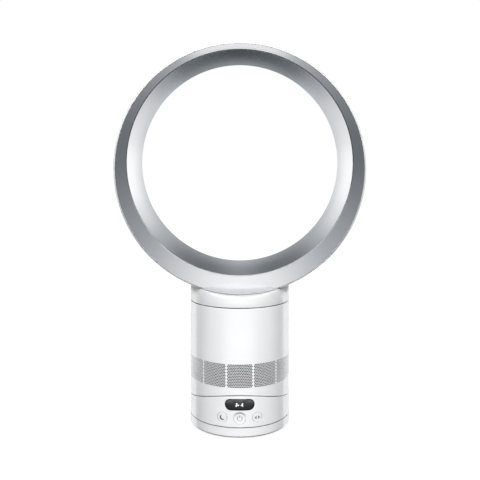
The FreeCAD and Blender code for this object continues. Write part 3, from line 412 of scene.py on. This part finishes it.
def front_hole(centre, reach, radius, rounding):
    """Rings from a block's border to a hole bored along Y through a column of that radius.

    Two rings lie on the way, and the rest follow a quarter circle of the rounding into the hole.
    """
    def rings(border):
        flat = border[:, [0, 2]] - centre
        angle = np.arctan2(flat[:, 1], flat[:, 0])
        toward = np.stack([np.cos(angle), np.sin(angle)], -1)
        edge = reach(angle)[:, None]
        made = []
        for share in (0.5, 0.8):
            made.append(((1 - share) * flat + share * (edge + rounding) * toward, 0.0))
        for turn in np.linspace(0, pi / 2, 4):
            made.append(((edge + rounding * (1 - sin(turn))) * toward,
                         rounding * (1 - cos(turn))))
        for place, depth in made:
            x, z = (place + centre).T
            yield np.stack([x, -np.sqrt((radius - depth) ** 2 - x ** 2), z], -1)

    return rings


def around(count):
    """Evenly spaced angles for a whole turn, from the back."""
    return pi / 2 + 2 * pi * np.arange(count) / count


column_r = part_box("foot_base")[1].x
wall = 2.2 * MM
inside_r = column_r - wall
edge_r = 0.35 * MM
low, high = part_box("control_casing")[0].z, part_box("control_casing")[1].z
tilt_joint = next(j for j in frame["joints"] if j["name"] == "tilt")
tilt_z = tilt_joint["pos_m"][2]
deck_r = sqrt((tilt_z - high) ** 2 + column_r ** 2)


def saddle(y, radius):
    """Height of the seam over the place y: a circle of that radius about the tilt axis."""
    return tilt_z - np.sqrt(radius ** 2 - y ** 2)


def quarter(steps):
    """(in, back) shares of a quarter circle, from the face to the edge."""
    turn = np.linspace(0, pi / 2, steps + 1)
    return 1 - np.cos(turn), np.sin(turn)


# heights of the wall's rows: a plain one, eight round the keys, and seven round the window
keys_low, keys_high, window_high = low + 2.8 * MM, 33.4 * MM, 48.4 * MM
control_rows = np.concatenate([[low + 1.0 * MM], np.linspace(keys_low, keys_high, 9),
                               np.linspace(keys_high, window_high, 8)[1:]])
edge_steps = 3


def control_grid(radius, rounding):
    """Column wall between the flat lower edge and the saddle, with both edges rounded.

    Rows lie level at the front. Towards the sides they close up below the saddle.
    """
    angle = around(240)[:, None]
    inward, upward = quarter(edge_steps)
    y = radius * np.sin(angle)
    top = saddle(y, deck_r)
    squeeze = np.minimum(1, (top - 1.0 * MM - low) / (control_rows[-1] - low))
    rows = low + (control_rows - low)[None] * squeeze
    foot = low + rounding * (1 - upward[::-1])[None] + 0 * angle
    lip = top - rounding * (1 - upward)[None]
    z = np.concatenate([foot, rows, lip], 1)
    r = radius - rounding * np.concatenate([inward[::-1], 0 * control_rows, inward])[None]
    return np.stack([r * np.cos(angle), r * np.sin(angle), z], -1)


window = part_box("display_window")
window_z = (window[0].z + window[1].z) / 2
window_x, window_h = window[1].x, (window[1].z - window[0].z) / 2
button_z = (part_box("power_button")[0].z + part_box("power_button")[1].z) / 2
keys = {"sleep": (-21.0 * MM, 5.7 * MM), "power": (0.0, 7.2 * MM), "swing": (21.0 * MM, 5.7 * MM)}
key_gap, window_gap = 0.35 * MM, 0.1 * MM

# blocks of the grid that give way to the holes: 240 columns from the back, so 120 is the front
first = edge_steps + 2
openings = []
for name, columns in (("sleep", (101, 114)), ("power", (114, 126)), ("swing", (126, 139))):
    x, r = keys[name]
    size = r + key_gap
    openings.append((*columns, first, first + 8, (x, button_z), oblong(size, size, size)))
size = window_h + window_gap
openings.append((106, 134, first + 8, first + 15, (0, window_z),
                 oblong(window_x + window_gap, size, size)))


def control_sheet(radius, rounding):
    """Column wall with its four holes."""
    holes = [(*block, front_hole(np.array(centre), reach, radius, rounding))
             for *block, centre, reach in openings]
    return sheet(control_grid(radius, rounding), holes)


outer, quads = control_sheet(column_r, edge_r)
inner, quads = control_sheet(inside_r, 0.0)
control = piece("control_shell", [shell(outer, inner, quads)], white_abs, "control_section")
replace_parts(control, "control_casing")


# ---- display window -------------------------------------------------------------------------
# Smoked acrylic pill, polished, curved with the column and a little proud of it. It is glued into the casing. Its
# gloss is a painted reflection: the coat fades from the upper edge towards the lower edge, bright at the top and
# dark below.
def capped(centre, cells, half, outlines):
    """Closed piece: a patch of quads, rings outward from its border, and the patch again behind.

    The patch is a rectangle of that half size. An outline is (reach, y), where reach gives its
    distance from the centre by direction and y its place along Y by x and z. The patches lie at
    the first and the last y.
    """
    across, up = (np.linspace(-h, h, n + 1) for h, n in zip(half, cells))
    flat = np.stack(np.meshgrid(across, up, indexing="ij"), -1)
    block = np.pad(flat, ((0, 0), (0, 0), (0, 1)))
    points, quads = sheet(block, closed=False)
    number = np.arange(len(points)).reshape(block.shape[:2])
    border = np.concatenate([number[:-1, 0], number[-1, :-1], number[:0:-1, -1], number[0, :0:-1]])
    turn = np.arctan2(points[border, 1], points[border, 0])
    toward = np.stack([np.cos(turn), np.sin(turn)], -1)
    middle = points[:, :2] + centre

    def placed(flat, y):
        return np.stack([flat[:, 0], y(*flat.T), flat[:, 1]], -1)

    rows, made, last = [placed(middle, outlines[0][1])], [quads], border
    count = len(middle)
    for reach, y in outlines:
        rows.append(placed(centre + reach(turn)[:, None] * toward, y))
        ring = count + np.arange(len(turn))
        made.append(np.stack([last, ring, np.roll(ring, -1), np.roll(last, -1)], -1))
        count, last = count + len(turn), ring
    back = count + border
    rows.append(placed(middle, outlines[-1][1]))
    made.append(np.stack([last, back, np.roll(back, -1), np.roll(last, -1)], -1))
    made.append(count + quads[:, ::-1])
    return np.concatenate(rows), np.concatenate(made)


def curved(radius):
    """Place along Y of the front of a column of that radius."""
    return lambda x, z: -np.sqrt(radius ** 2 - x ** 2)


def level(place):
    """The same place along Y everywhere."""
    return lambda x, z: place + 0 * x


def edged(size, radius, rounding):
    """Outlines over the rounded edge of a face that follows the column."""
    inward, back = quarter(4)
    return [(oblong(*(s - rounding * (1 - b) for s in size)), curved(radius - rounding * i))
            for b, i in zip(back, inward)]


smoked = moulded("smoked_acrylic", (0.006, 0.006, 0.007), (0.012, 0.012, 0.014), (0.05, 0.09),
                 depth=0.01)
tree = smoked.node_tree
face = tree.nodes["Principled BSDF"]
# painted reflection: the coat's gloss is set by height, full at the upper edge and gone at the lower
painted_gloss_height = node(tree, "SeparateXYZ", {0: node(tree, "TexCoord").outputs["Object"]}).outputs[2]
painted_gloss_height = sums(tree, "DIVIDE", sums(tree, "SUBTRACT", painted_gloss_height, window_z - window_h), 2 * window_h)
tree.links.new(ramp(tree, painted_gloss_height, [(0.0, 0.0), (0.35, 0.25), (1.0, 1.0)]),
               face.inputs["Coat Weight"])
face.inputs["Coat Roughness"].default_value = 0.08
face.inputs["Specular IOR Level"].default_value = 0.2

pill = (window_x, window_h, window_h)
glass_r, glass_edge = column_r + 0.3 * MM, 0.45 * MM
glass = capped((0, window_z), (20, 6), (12.5 * MM, 3.2 * MM), [
    (oblong(*(0.8 * s for s in pill)), curved(glass_r)),
    *edged(pill, glass_r, glass_edge),
    (oblong(*pill), curved(inside_r)),
])
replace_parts(piece("window_pill", [glass], smoked, "control_section"),
            "display_window")


# ---- lit figures ----------------------------------------------------------------------------
# A fan sign and the chosen level, lit from the display board behind the window. They are flat
# bands a tenth of a millimetre thick that follow the window's face.
def ribbon(path, width, radius, thick=0.06 * MM, centre=(0, 0)):
    """Thin curved band. path gives its middle line in mm, width its half width in mm."""
    path = np.asarray(path, float)
    ahead = np.gradient(path, axis=0)
    aside = np.stack([-ahead[:, 1], ahead[:, 0]], -1)
    aside /= np.linalg.norm(aside, axis=1)[:, None]
    width = np.broadcast_to(np.asarray(width, float), len(path))[:, None]
    flat = np.stack([path + aside * width * s for s in (-1, 0, 1)], 1) * MM + centre
    face = [np.stack([flat[..., 0], -np.sqrt((radius + h) ** 2 - flat[..., 0] ** 2),
                      flat[..., 1]], -1) for h in (thick, -thick)]
    points, quads = sheet(face[0], closed=False)
    return shell(points, face[1].reshape(-1, 3), quads)


def arc(radius, start, end, count=24, middle=(0, 0)):
    """Points on a circle in mm, from one angle in degrees to another."""
    turn = np.radians(np.linspace(start, end, count))
    return np.stack([radius * np.cos(turn), radius * np.sin(turn)], -1) + middle


def segment(a, b):
    """Points on a straight line."""
    return np.linspace(a, b, 4)


lit_sign = bpy.data.materials.new("lit_sign")
lit_sign.use_nodes = True
tree = lit_sign.node_tree
face = tree.nodes["Principled BSDF"]
glimmer = node(tree, "TexNoise", {"Vector": node(tree, "TexCoord").outputs["Object"],
                                  "Scale": 1500.0}).outputs[0]
tree.links.new(ramp(tree, glimmer, [(0.3, 0.7), (0.7, 0.9)]), face.inputs["Emission Color"])
tree.links.new(ramp(tree, glimmer, [(0.3, 0.5), (0.7, 0.6)]), face.inputs["Base Color"])
face.inputs["Emission Strength"].default_value = 0.9

blade = np.linspace(0, 1, 12)
fan_sign = []
for turned in (90, 210, 330):
    lean = np.radians(turned + 35 * blade)
    reach = 0.35 + 2.1 * blade
    fan_sign.append(ribbon(np.stack([reach * np.cos(lean), reach * np.sin(lean)], -1),
                           0.15 + 0.75 * np.sin(pi * blade ** 0.8), glass_r,
                           centre=np.array((-3.2 * MM, window_z))))
figure = [segment((0.9, -2.2), (0.9, 2.2)), segment((0.9, 2.1), (-1.3, -0.8)),
          segment((-1.3, -0.8), (1.6, -0.8))]
four = [ribbon(line, 0.3, glass_r, thick=(0.05 + 0.01 * k) * MM,
               centre=np.array((2.6 * MM, window_z))) for k, line in enumerate(figure)]
piece("lit_figures", fan_sign + four, lit_sign, "control_section")


# ---- keys -----------------------------------------------------------------------------------
# Three round ABS keys whose faces follow the column. A flange behind the casing keeps each in,
# and a stem reaches its switch. The middle one is dished for the finger.
def key(name, dish):
    """Key with its dished face, rounded edge, flange and square stem.

    The dish is a paraboloid that fades out at 0.9 of the key's radius. The flange lies just behind
    the place where its outer side meets the casing.
    """
    x, r = keys[name]
    flange, flange_thick, stem, stem_end = r + 1.2 * MM, 1.0 * MM, 1.5 * MM, -52.0 * MM
    front = 0.1 * MM - sqrt(inside_r ** 2 - (abs(x) + flange) ** 2)
    back = front + flange_thick

    def dished(place_x, place_z):
        away = np.hypot(place_x - x, place_z - button_z) / r
        return curved(column_r)(place_x, place_z) + dish * np.clip(1 - away ** 2 / 0.8, 0, 1)

    outlines = [(oblong(r * s, r * s, r * s), dished) for s in (0.5, 0.65, 0.8, 0.9)]
    outlines += edged((r, r, r), column_r, 0.3 * MM)
    outlines += [(oblong(half, half, corner), level(y)) for half, corner, y in (
        (r, r, front), (flange, flange, front), (flange, flange, back), (stem, 0, back),
        (stem, 0, stem_end))]
    solid = capped((x, button_z), (8, 8), (0.3 * r, 0.3 * r), outlines)
    made = piece(f"{name}_key_cap", [solid], white_abs, f"{name}_key")
    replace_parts(made, f"{name}_button")


dish = 0.5 * MM
key("sleep", 0.0)
key("power", dish)
key("swing", 0.0)


# ---- key signs ------------------------------------------------------------------------------
# Grey ink on the keys: a moon, two arrow heads, and a power sign in a paler grey. The grey arc over the power key
# is not print but a painted shadow of its dish's upper rim. Each is a tenth of a millimetre thick and follows the
# face that it lies on.
ink_and_painted_shadow = moulded("ink_and_painted_shadow", (0.1, 0.1, 0.105), (0.14, 0.14, 0.145), (0.35, 0.45))
pale_ink = moulded("pale_ink", (0.22, 0.22, 0.225), (0.28, 0.28, 0.285), (0.35, 0.45))

# the moon's middle line and half width come from its two edges
left_edge = arc(2.9, 100, 320, 25)
right_edge = arc(2.65, 128, 292, 25, (1.3, 0.85))
moon = ribbon((left_edge + right_edge) / 2,
              np.linalg.norm(left_edge - right_edge, axis=1) / 2 + 0.04, column_r,
              centre=np.array((keys["sleep"][0], button_z)))
piece("moon_sign", [moon], ink_and_painted_shadow, "sleep_key")

arrows = [ribbon([(side * 0.9, 0), (side * 3.3, 0)], [2.1, 0.05], column_r,
                 centre=np.array((keys["swing"][0], button_z))) for side in (-1, 1)]
piece("arrow_signs", arrows, ink_and_painted_shadow, "swing_key")

dish_r = column_r - dish + 0.08 * MM
middle = np.array((0, button_z - 0.4 * MM))
power_sign = [ribbon(line, 0.36, dish_r, centre=middle)
              for line in (arc(2.9, 128, 412), segment((0, 0.9), (0, 3.7)))]
piece("power_sign", power_sign, pale_ink, "power_key")
# painted shadow: a tapered grey arc along the upper rim of the power key, thickest at the top
taper = np.sin(np.linspace(0, pi, 24))
rim_shadow_band = ribbon(arc(6.55, 22, 158), 0.06 + 0.44 * taper, column_r, centre=np.array((0, button_z)))
piece("power_key_rim_shadow", [rim_shadow_band], ink_and_painted_shadow, "power_key")


# ---- body casing ----------------------------------------------------------------------------
# White shell over the fan unit, saddle-cut below, with a smooth collar in its top. Its inner face is painted black,
# as painted shade for the dark inside seen through the holes.
# A thin band full of fine round holes lets the air in: twelve panels of staggered rows with plain
# strips between.
body_low, body_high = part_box("body_casing")[0].z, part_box("body_casing")[1].z
grille_low, grille_high = 61.0 * MM, 89.0 * MM
collar_low, collar_r = 144.0 * MM, 58.2 * MM
lines, rows, panels = 372, 15, 12
panel_lines = lines // panels
hole_r = 0.925 * MM


def body_sheet(radius, hole, radii, rounding):
    """Casing wall with the grille. radii are for the plain rows: the first also serves below.

    Upright lattice lines stand half a hole's pitch apart. A hole takes two gaps between them and
    one row, and every other row is shifted by a gap. A hole's border has ten points, and its edge
    ten, each straight in from one of them.
    """
    def number(*shape):
        return np.arange(np.prod(shape)).reshape(shape)

    turn = pi / 2 + radians(180 / panels) + 2 * pi * (np.arange(lines) + 0.5) / lines
    row = (grille_high - grille_low) / rows
    corner = number(lines, rows + 1)
    side = corner.size + number(lines, rows, 2)
    heights = grille_low + row * np.arange(rows + 1)
    flat = [np.stack(np.broadcast_arrays(turn[:, None], heights), -1).reshape(-1, 2),
            np.stack(np.broadcast_arrays(turn[:, None, None], heights[:-1, None] +
                                         row * np.array([1, 2]) / 3), -1).reshape(-1, 2)]
    quads, count = [], side.max() + 1
    for j in range(rows):
        shift = 1 - j % 2
        starts = np.concatenate([p * panel_lines + shift + 2 * np.arange(panel_lines // 2 - shift)
                                 for p in range(panels)])
        a, b, c = starts, (starts + 1) % lines, (starts + 2) % lines
        border = np.stack([corner[a, j], corner[b, j], corner[c, j], side[c, j, 0], side[c, j, 1],
                           corner[c, j + 1], corner[b, j + 1], corner[a, j + 1],
                           side[a, j, 1], side[a, j, 0]], -1)
        toward = np.radians(234 + 36 * np.arange(10))
        ring = np.stack(np.broadcast_arrays(
            (turn[a] + 2 * pi / lines)[:, None] + hole * np.cos(toward) / column_r,
            heights[j] + row / 2 + hole * np.sin(toward)), -1)
        edge = count + number(*ring.shape[:2])
        count += edge.size
        flat.append(ring.reshape(-1, 2))
        quads.append(np.stack([border, np.roll(border, -1, 1), np.roll(edge, -1, 1), edge], -1)
                     .reshape(-1, 4))
        plain = np.setdiff1d(np.arange(lines), np.concatenate([a, b]))
        k, n = plain, (plain + 1) % lines
        for left, right in (((corner[k, j], side[k, j, 0]), (corner[n, j], side[n, j, 0])),
                            ((side[k, j, 0], side[k, j, 1]), (side[n, j, 0], side[n, j, 1])),
                            ((side[k, j, 1], corner[k, j + 1]), (side[n, j, 1], corner[n, j + 1]))):
            quads.append(np.stack([left[0], right[0], right[1], left[1]], -1))
    flat = np.concatenate(flat)
    points = [np.stack([radius * np.cos(flat[:, 0]), radius * np.sin(flat[:, 0]), flat[:, 1]], -1)]

    inward, upward = quarter(3)
    y = radius * np.sin(turn)[:, None]
    seam = saddle(y, tilt_z - body_low)
    below = np.concatenate([seam + rounding * (1 - upward[::-1]), seam + 1.2 * MM,
                            seam * 0.4 + grille_low * 0.6, 0 * seam + grille_low - 1.0 * MM], 1)
    below_r = np.concatenate([radii[0] - rounding * inward[::-1], [radii[0]] * 3])
    above = np.concatenate([[grille_high + 1.0 * MM, 0.5 * (grille_high + collar_low),
                             collar_low - 0.2 * MM, collar_low, body_high - 1.2 * MM],
                            body_high - rounding * (1 - upward)])
    above_r = np.concatenate([radii, radii[-1] - rounding * inward])
    turn = turn[:, None]
    for z, r in ((below, below_r), (above + 0 * turn, above_r)):
        points.append(np.stack([r * np.cos(turn), r * np.sin(turn), z], -1).reshape(-1, 3))
    low = count + number(*below.shape)
    high = low.max() + 1 + number(lines, len(above))
    for grid in (np.concatenate([low, corner[:, :1]], 1), np.concatenate([corner[:, -1:], high], 1)):
        there = np.roll(grid, -1, 0)
        quads.append(np.stack([grid[:, :-1], there[:, :-1], there[:, 1:], grid[:, 1:]], -1)
                     .reshape(-1, 4))
    return np.concatenate(points), np.concatenate(quads)


# The grille's wall is 0.4 mm thin, so the black painted shade on its inner face fills most of each hole.
behind = column_r - 0.4 * MM
outer, quads = body_sheet(column_r, hole_r, [column_r] * 5, edge_r)
inner, quads = body_sheet(behind, hole_r, [inside_r] * 3 + [collar_r] * 2, 0.0)
# painted shade: the shell's inner face is black
shade_lining = moulded("painted_shade_lining", (0.012, 0.012, 0.013), (0.022, 0.022, 0.024), (0.5, 0.6))
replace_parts(piece("body_shell", [shell(outer, inner, quads)], white_abs, "body",
                  lining=(shade_lining, slice(len(quads), 2 * len(quads)))), "body_casing")


# ---- painted shade behind the grille and in the seams ---------------------------------------
# A thin black sheet inside the casing behind the grille is painted shade: it makes the holes as dark as the shade
# inside would.
# Black bands in the seams above the foot and below the neck are painted shade in the gaps.
def hoop(radius, low, high, thick):
    """Plain upright band. radius is its outside."""
    turn = around(96)[:, None]
    z = np.linspace(low, high, 3) + 0 * turn
    sheets = [np.stack([r * np.cos(turn) + 0 * z, r * np.sin(turn) + 0 * z, z], -1)
              for r in (radius, radius - thick)]
    outer, quads = sheet(sheets[0])
    return shell(outer, sheets[1].reshape(-1, 3), quads)


seam_shade = moulded("seam_shade", (0.012, 0.012, 0.013), (0.02, 0.02, 0.022), (0.7, 0.8))
painted_shade_sheet = moulded("painted_shade_sheet", (0.012, 0.012, 0.013), (0.02, 0.02, 0.022), (0.8, 0.9), scale=3000.0,
                depth=0.6)
# painted shade: a black sheet just behind the grille's holes
piece("grille_shade_sheet", [hoop(behind - 0.1 * MM, grille_low, grille_high, 0.2 * MM)], painted_shade_sheet, "body")

# painted shade: black bands set just inside the surface darken the two seams as their shade would
neck_seam, foot_seam, band_clearance, band_thick = 1.0 * MM, 0.8 * MM, 0.06 * MM, 0.3 * MM
piece("neck_seam_shade", [hoop(column_r - 0.4 * MM, body_high + band_clearance,
                         body_high + neck_seam - band_clearance, band_thick)],
      seam_shade, "body")
piece("foot_seam_shade", [hoop(column_r - 0.3 * MM, low - foot_seam + band_clearance, low - band_clearance,
                         band_thick)],
      seam_shade, "control_section")


# ---- inside of the body ---------------------------------------------------------------------
# The fan unit hangs on rubber: a black housing with its wheel, a grey pod with the motor and
# vanes, and the board that drives it. The base slides on the cradle below.
black_nylon = moulded("black_nylon", (0.012, 0.012, 0.014), (0.022, 0.022, 0.024), (0.45, 0.55),
                      depth=0.2)
steel = moulded("steel", (0.55, 0.55, 0.56), (0.68, 0.68, 0.69), (0.25, 0.35), metal=1.0)
finished(grey_nylon, "body_base", "diffuser")
finished(black_nylon, "fan_housing", "impeller")
finished(rubber, "isolators", "duct_seal")
finished(steel, "motor_shaft")
finished(laminate, "motor_board")


# ---- neck -----------------------------------------------------------------------------------
# White collar between body and loop. Its roof is a saddle that the loop is bonded to, and an
# oblong duct goes up through it. A spigot turns in the body's collar.
loop_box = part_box("loop_outer_casing")
loop_r = loop_box[1].x
ring_z = loop_box[0].z + loop_r
neck_low = body_high + neck_seam
spigot_low, spigot_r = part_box("neck")[0].z, 58.0 * MM
duct_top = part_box("neck")[1].z
duct_x, duct_y, duct_corner, duct_slack = 46.0 * MM, 26.0 * MM, 12.0 * MM, 0.1 * MM
spigot_wall, step_wall, duct_wall = 2.4 * MM, 2.5 * MM, 1.9 * MM
saddle_r = loop_r + 0.5 * MM


def ring_roof(x, radius):
    """Height of the lower side of a level cylinder of that radius about the loop's axis."""
    return ring_z - np.sqrt(radius ** 2 - x ** 2)


def neck_sheet(shift, lower_r, eaves_r):
    """Spigot, step, wall, roof and duct as one row of points after another.

    shift is 0 outside and 1 inside, where every wall has moved in by its own thickness. lower_r
    and eaves_r round the wall's two edges.
    """
    turn = around(240)[:, None]
    out = np.concatenate([np.cos(turn), np.sin(turn)], 1)
    inward, upward = quarter(3)
    spigot, outside = spigot_r - shift * spigot_wall, column_r - shift * wall
    rise = neck_low + shift * step_wall
    roof_r = saddle_r + shift * wall
    duct_shift = duct_slack + shift * duct_wall
    port = oblong(duct_x - duct_shift, duct_y - duct_shift, duct_corner - shift * 2.0 * MM)(turn)
    port_edge = np.minimum(port + 5.0 * MM, outside - 2 * eaves_r)

    def roof(place, below=0.0):
        return np.concatenate([place, ring_roof(place[:, :1], roof_r) - below], 1)

    levels = [(spigot, spigot_low), (spigot, rise - (1 - shift) * 0.01 * MM)]
    levels += [(outside - lower_r * i, rise + lower_r * (1 - u))
               for i, u in zip(inward[::-1], upward[::-1])]
    grid = [np.concatenate([r * out, 0 * turn + z], 1) for r, z in levels]
    eaves = ring_roof(outside * out[:, :1], roof_r)
    grid.append(np.concatenate([outside * out, (rise + 3 * eaves) / 4], 1))
    grid += [roof((outside - eaves_r * i) * out, eaves_r * (1 - u))
             for i, u in zip(inward, upward)]
    grid += [roof(((1 - share) * (outside - eaves_r) + share * port_edge) * out)
             for share in (0.3, 0.7, 1.0)]
    grid += [roof(port * out), np.concatenate([port * out, 0 * turn + duct_top], 1)]
    return sheet(np.stack(grid, 1))


outer, quads = neck_sheet(0, edge_r, 0.2 * MM)
inner, quads = neck_sheet(1, 0.0, 0.0)
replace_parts(piece("neck_shell", [shell(outer, inner, quads)], white_abs, "loop"),
            "neck")


# ---- loop, outer casing ---------------------------------------------------------------------
# White shell round the back of the loop, deepest at the bottom where the air comes in. It is
# moulded round to a lip inside, whose small ribs hold the slit open.
air_z = ring_z + 6.8 * MM
around_loop = 360


def bend(a, corner, b, steps):
    """Points on the parabola that leaves a for the corner and comes to b from it.

    Each is the mean of the three, weighted by (1 - s) squared, 2 s (1 - s) and s squared.
    """
    share = np.linspace(0, 1, steps + 1)[:, None]
    a, corner, b = (np.array(p, float) for p in (a, corner, b))
    return list((1 - share) ** 2 * a + 2 * share * (1 - share) * corner + share ** 2 * b)


def ringed(profile, openings=()):
    """Sheet through a circle for each (y, radius, height of its axis), all in mm."""
    y, r, z = np.array(profile, float).T * MM
    turn = around(around_loop)[:, None]
    grid = np.stack([r * np.cos(turn), y + 0 * turn, z + r * np.sin(turn)], -1)
    return sheet(grid, openings)


# heights of the two axes in mm: the outer wall's, and that of the air
OUTER, AIR = ring_z / MM, air_z / MM
lip_r, wall_r, back_y = 131, 154.4, 44
# from the lip's edge over the back to the rim
outer_path = [
    *[(y, lip_r, AIR) for y in (29, 33, 36)],
    *bend((37, lip_r, AIR), (back_y, lip_r, AIR), (back_y, 136, AIR), 6),
    (back_y, 138, (OUTER + 3 * AIR) / 4), (back_y, 141, (OUTER + AIR) / 2),
    (back_y, 144.4, (3 * OUTER + AIR) / 4),
    *bend((back_y, 146.4, OUTER), (back_y, wall_r, OUTER), (29, wall_r, OUTER), 10),
    *[(y, wall_r, OUTER) for y in (28, 12, -12, -28, -39.5)],
    *bend((-40.5, wall_r, OUTER), (-41.3, wall_r, OUTER), (-43.0, 153.2, OUTER), 3),
    *bend((-43.7, 152.6, OUTER), (-44, 152.3, OUTER), (-44, 152.25, OUTER), 2)[:-1],
    (-44, 152.2, OUTER),
]
# the inside has as many points, evenly spaced between these numbered ones
inner_knots = {0: (29, 132.6, AIR), 3: (37, 132.6, AIR), 9: (41.4, 137, AIR),
               13: (41.4, 145.1, OUTER), 23: (29, 151.8, OUTER), 24: (28, 151.8, OUTER),
               27: (-28, 151.8, OUTER), 29: (-36, 151.8, OUTER), 32: (-36, 152.2, OUTER),
               35: (-43.5, 152.2, OUTER)}
inner_path = np.stack([np.interp(np.arange(len(outer_path)), list(inner_knots), values)
                       for values in zip(*inner_knots.values())], -1)


rib_ends, rib_feet, rib_sides = (29, 32), (131.8, 133.9), (-1.5, 1.5)


def rib(turned):
    """Block between the lip and the slit's inner wall, at that angle from the top."""
    away, aside = np.array([sin(turned), 0, cos(turned)]), np.array([cos(turned), 0, -sin(turned)])
    corners = np.array([u * aside + v * away + (0, y, AIR) for y in rib_ends for v in rib_feet
                        for u in rib_sides]) * MM
    return corners, np.array([(0, 1, 3, 2), (4, 6, 7, 5), (0, 4, 5, 1), (2, 3, 7, 6),
                              (0, 2, 6, 4), (1, 5, 7, 3)])


def port_hole(radius):
    """Rings from a block's border to the duct's hole in a level cylinder of that radius."""
    def rings(border):
        turn = np.arctan2(border[:, 1], border[:, 0])
        edge = oblong(duct_x, duct_y, duct_corner)(turn)[:, None]
        edge = edge * np.stack([np.cos(turn), np.sin(turn)], -1)
        for share in (0.5, 1.0):
            flat = (1 - share) * border[:, :2] + share * edge
            yield np.concatenate([flat, ring_roof(flat[:, :1], radius)], 1)

    return rings


# the hole's block: twenty columns each way from the lowest, in the level stretch of the path
block = around_loop // 2 - 20, around_loop // 2 + 20, 24, 27
rib_count, loop_wall = 8, 2.6 * MM
ribs = [rib(2 * pi * (k + 0.5) / rib_count) for k in range(rib_count)]
outer, quads = ringed(outer_path, [(*block, port_hole(loop_r))])
inner, quads = ringed(inner_path, [(*block, port_hole(loop_r - loop_wall))])
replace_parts(piece("loop_back_shell", [shell(outer, inner, quads), *ribs], white_abs, "loop"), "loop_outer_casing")


# ---- loop, front casing ---------------------------------------------------------------------
# Satin silver inside of the loop: a broad bevel rises from the rim to a ridge, and from there
# the ramp falls away to the throat. Its back edge is the slit's inner wall.
throat, throat_y = 126.5, 10
rim = np.array([-44, 152.1, OUTER])
ridge = np.array([-53, 136.9, AIR])
ramp_depth, ramp_rise = throat_y - ridge[0], 9.4
sweep = (ramp_depth ** 2 + ramp_rise ** 2) / (2 * ramp_rise)


def ramp_r(y):
    """Radius on the ramp: a circle's arc of radius sweep that is level at the throat."""
    return throat + sweep - np.sqrt(sweep ** 2 - (throat_y - y) ** 2)


# both paths run from the rim over the ridge and the throat to the slit, with as many points
bevel = [(1 - share) * rim + share * ridge for share in (0.12, 0.35, 0.65, 0.9)]
slit_wall = [*bend((10.5, throat, AIR), (20, throat + 2, AIR), (28, 133.5, AIR), 8),
             (29, 134, AIR), (32, 134, AIR)]
front_path = [
    *[(y, rim[1], OUTER) for y in (-36, -40, -43)],
    *bend((-43.4, rim[1], OUTER), rim, (-44.35, 151.6, OUTER + 0.2), 3),
    *bevel,
    *bend((-52.85, 137.15, AIR), ridge, (-53, 136.65, AIR), 2),
    (-53, 136.3, AIR), (-53, 135.95, AIR), (-52.95, ramp_r(-52.95), AIR),
    *[(y, ramp_r(y), AIR) for y in np.linspace(-52.5, throat_y, 21)],
    *slit_wall,
]
front_wall = 2
front_inside = [
    *[(y, rim[1] - front_wall, OUTER) for y in (-36, -39, -41)],
    *[(-41.5 - 0.3 * k, rim[1] - front_wall - 0.1 * k, OUTER + 0.05 * k) for k in range(4)],
    *[(y + front_wall, r - 0.3, z) for y, r, z in bevel],
    *[(-50.0 + 0.2 * k, 137.8 - 0.05 * k, AIR) for k in range(5)],
    *[(y, ramp_r(y) + front_wall, AIR) for y in np.linspace(-49, throat_y, 22)],
    *[(y, r + front_wall, z) for y, r, z in slit_wall],
]
satin = moulded("satin_silver", (0.74, 0.745, 0.76), (0.8, 0.805, 0.82), (0.19, 0.24), scale=2600.0,
                depth=0.12, metal=1.0)
outer, quads = ringed(front_path)
inner, quads = ringed(front_inside)
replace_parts(piece("loop_front_shell", [shell(outer, inner, quads)], satin, "loop"),
            "loop_front_casing")
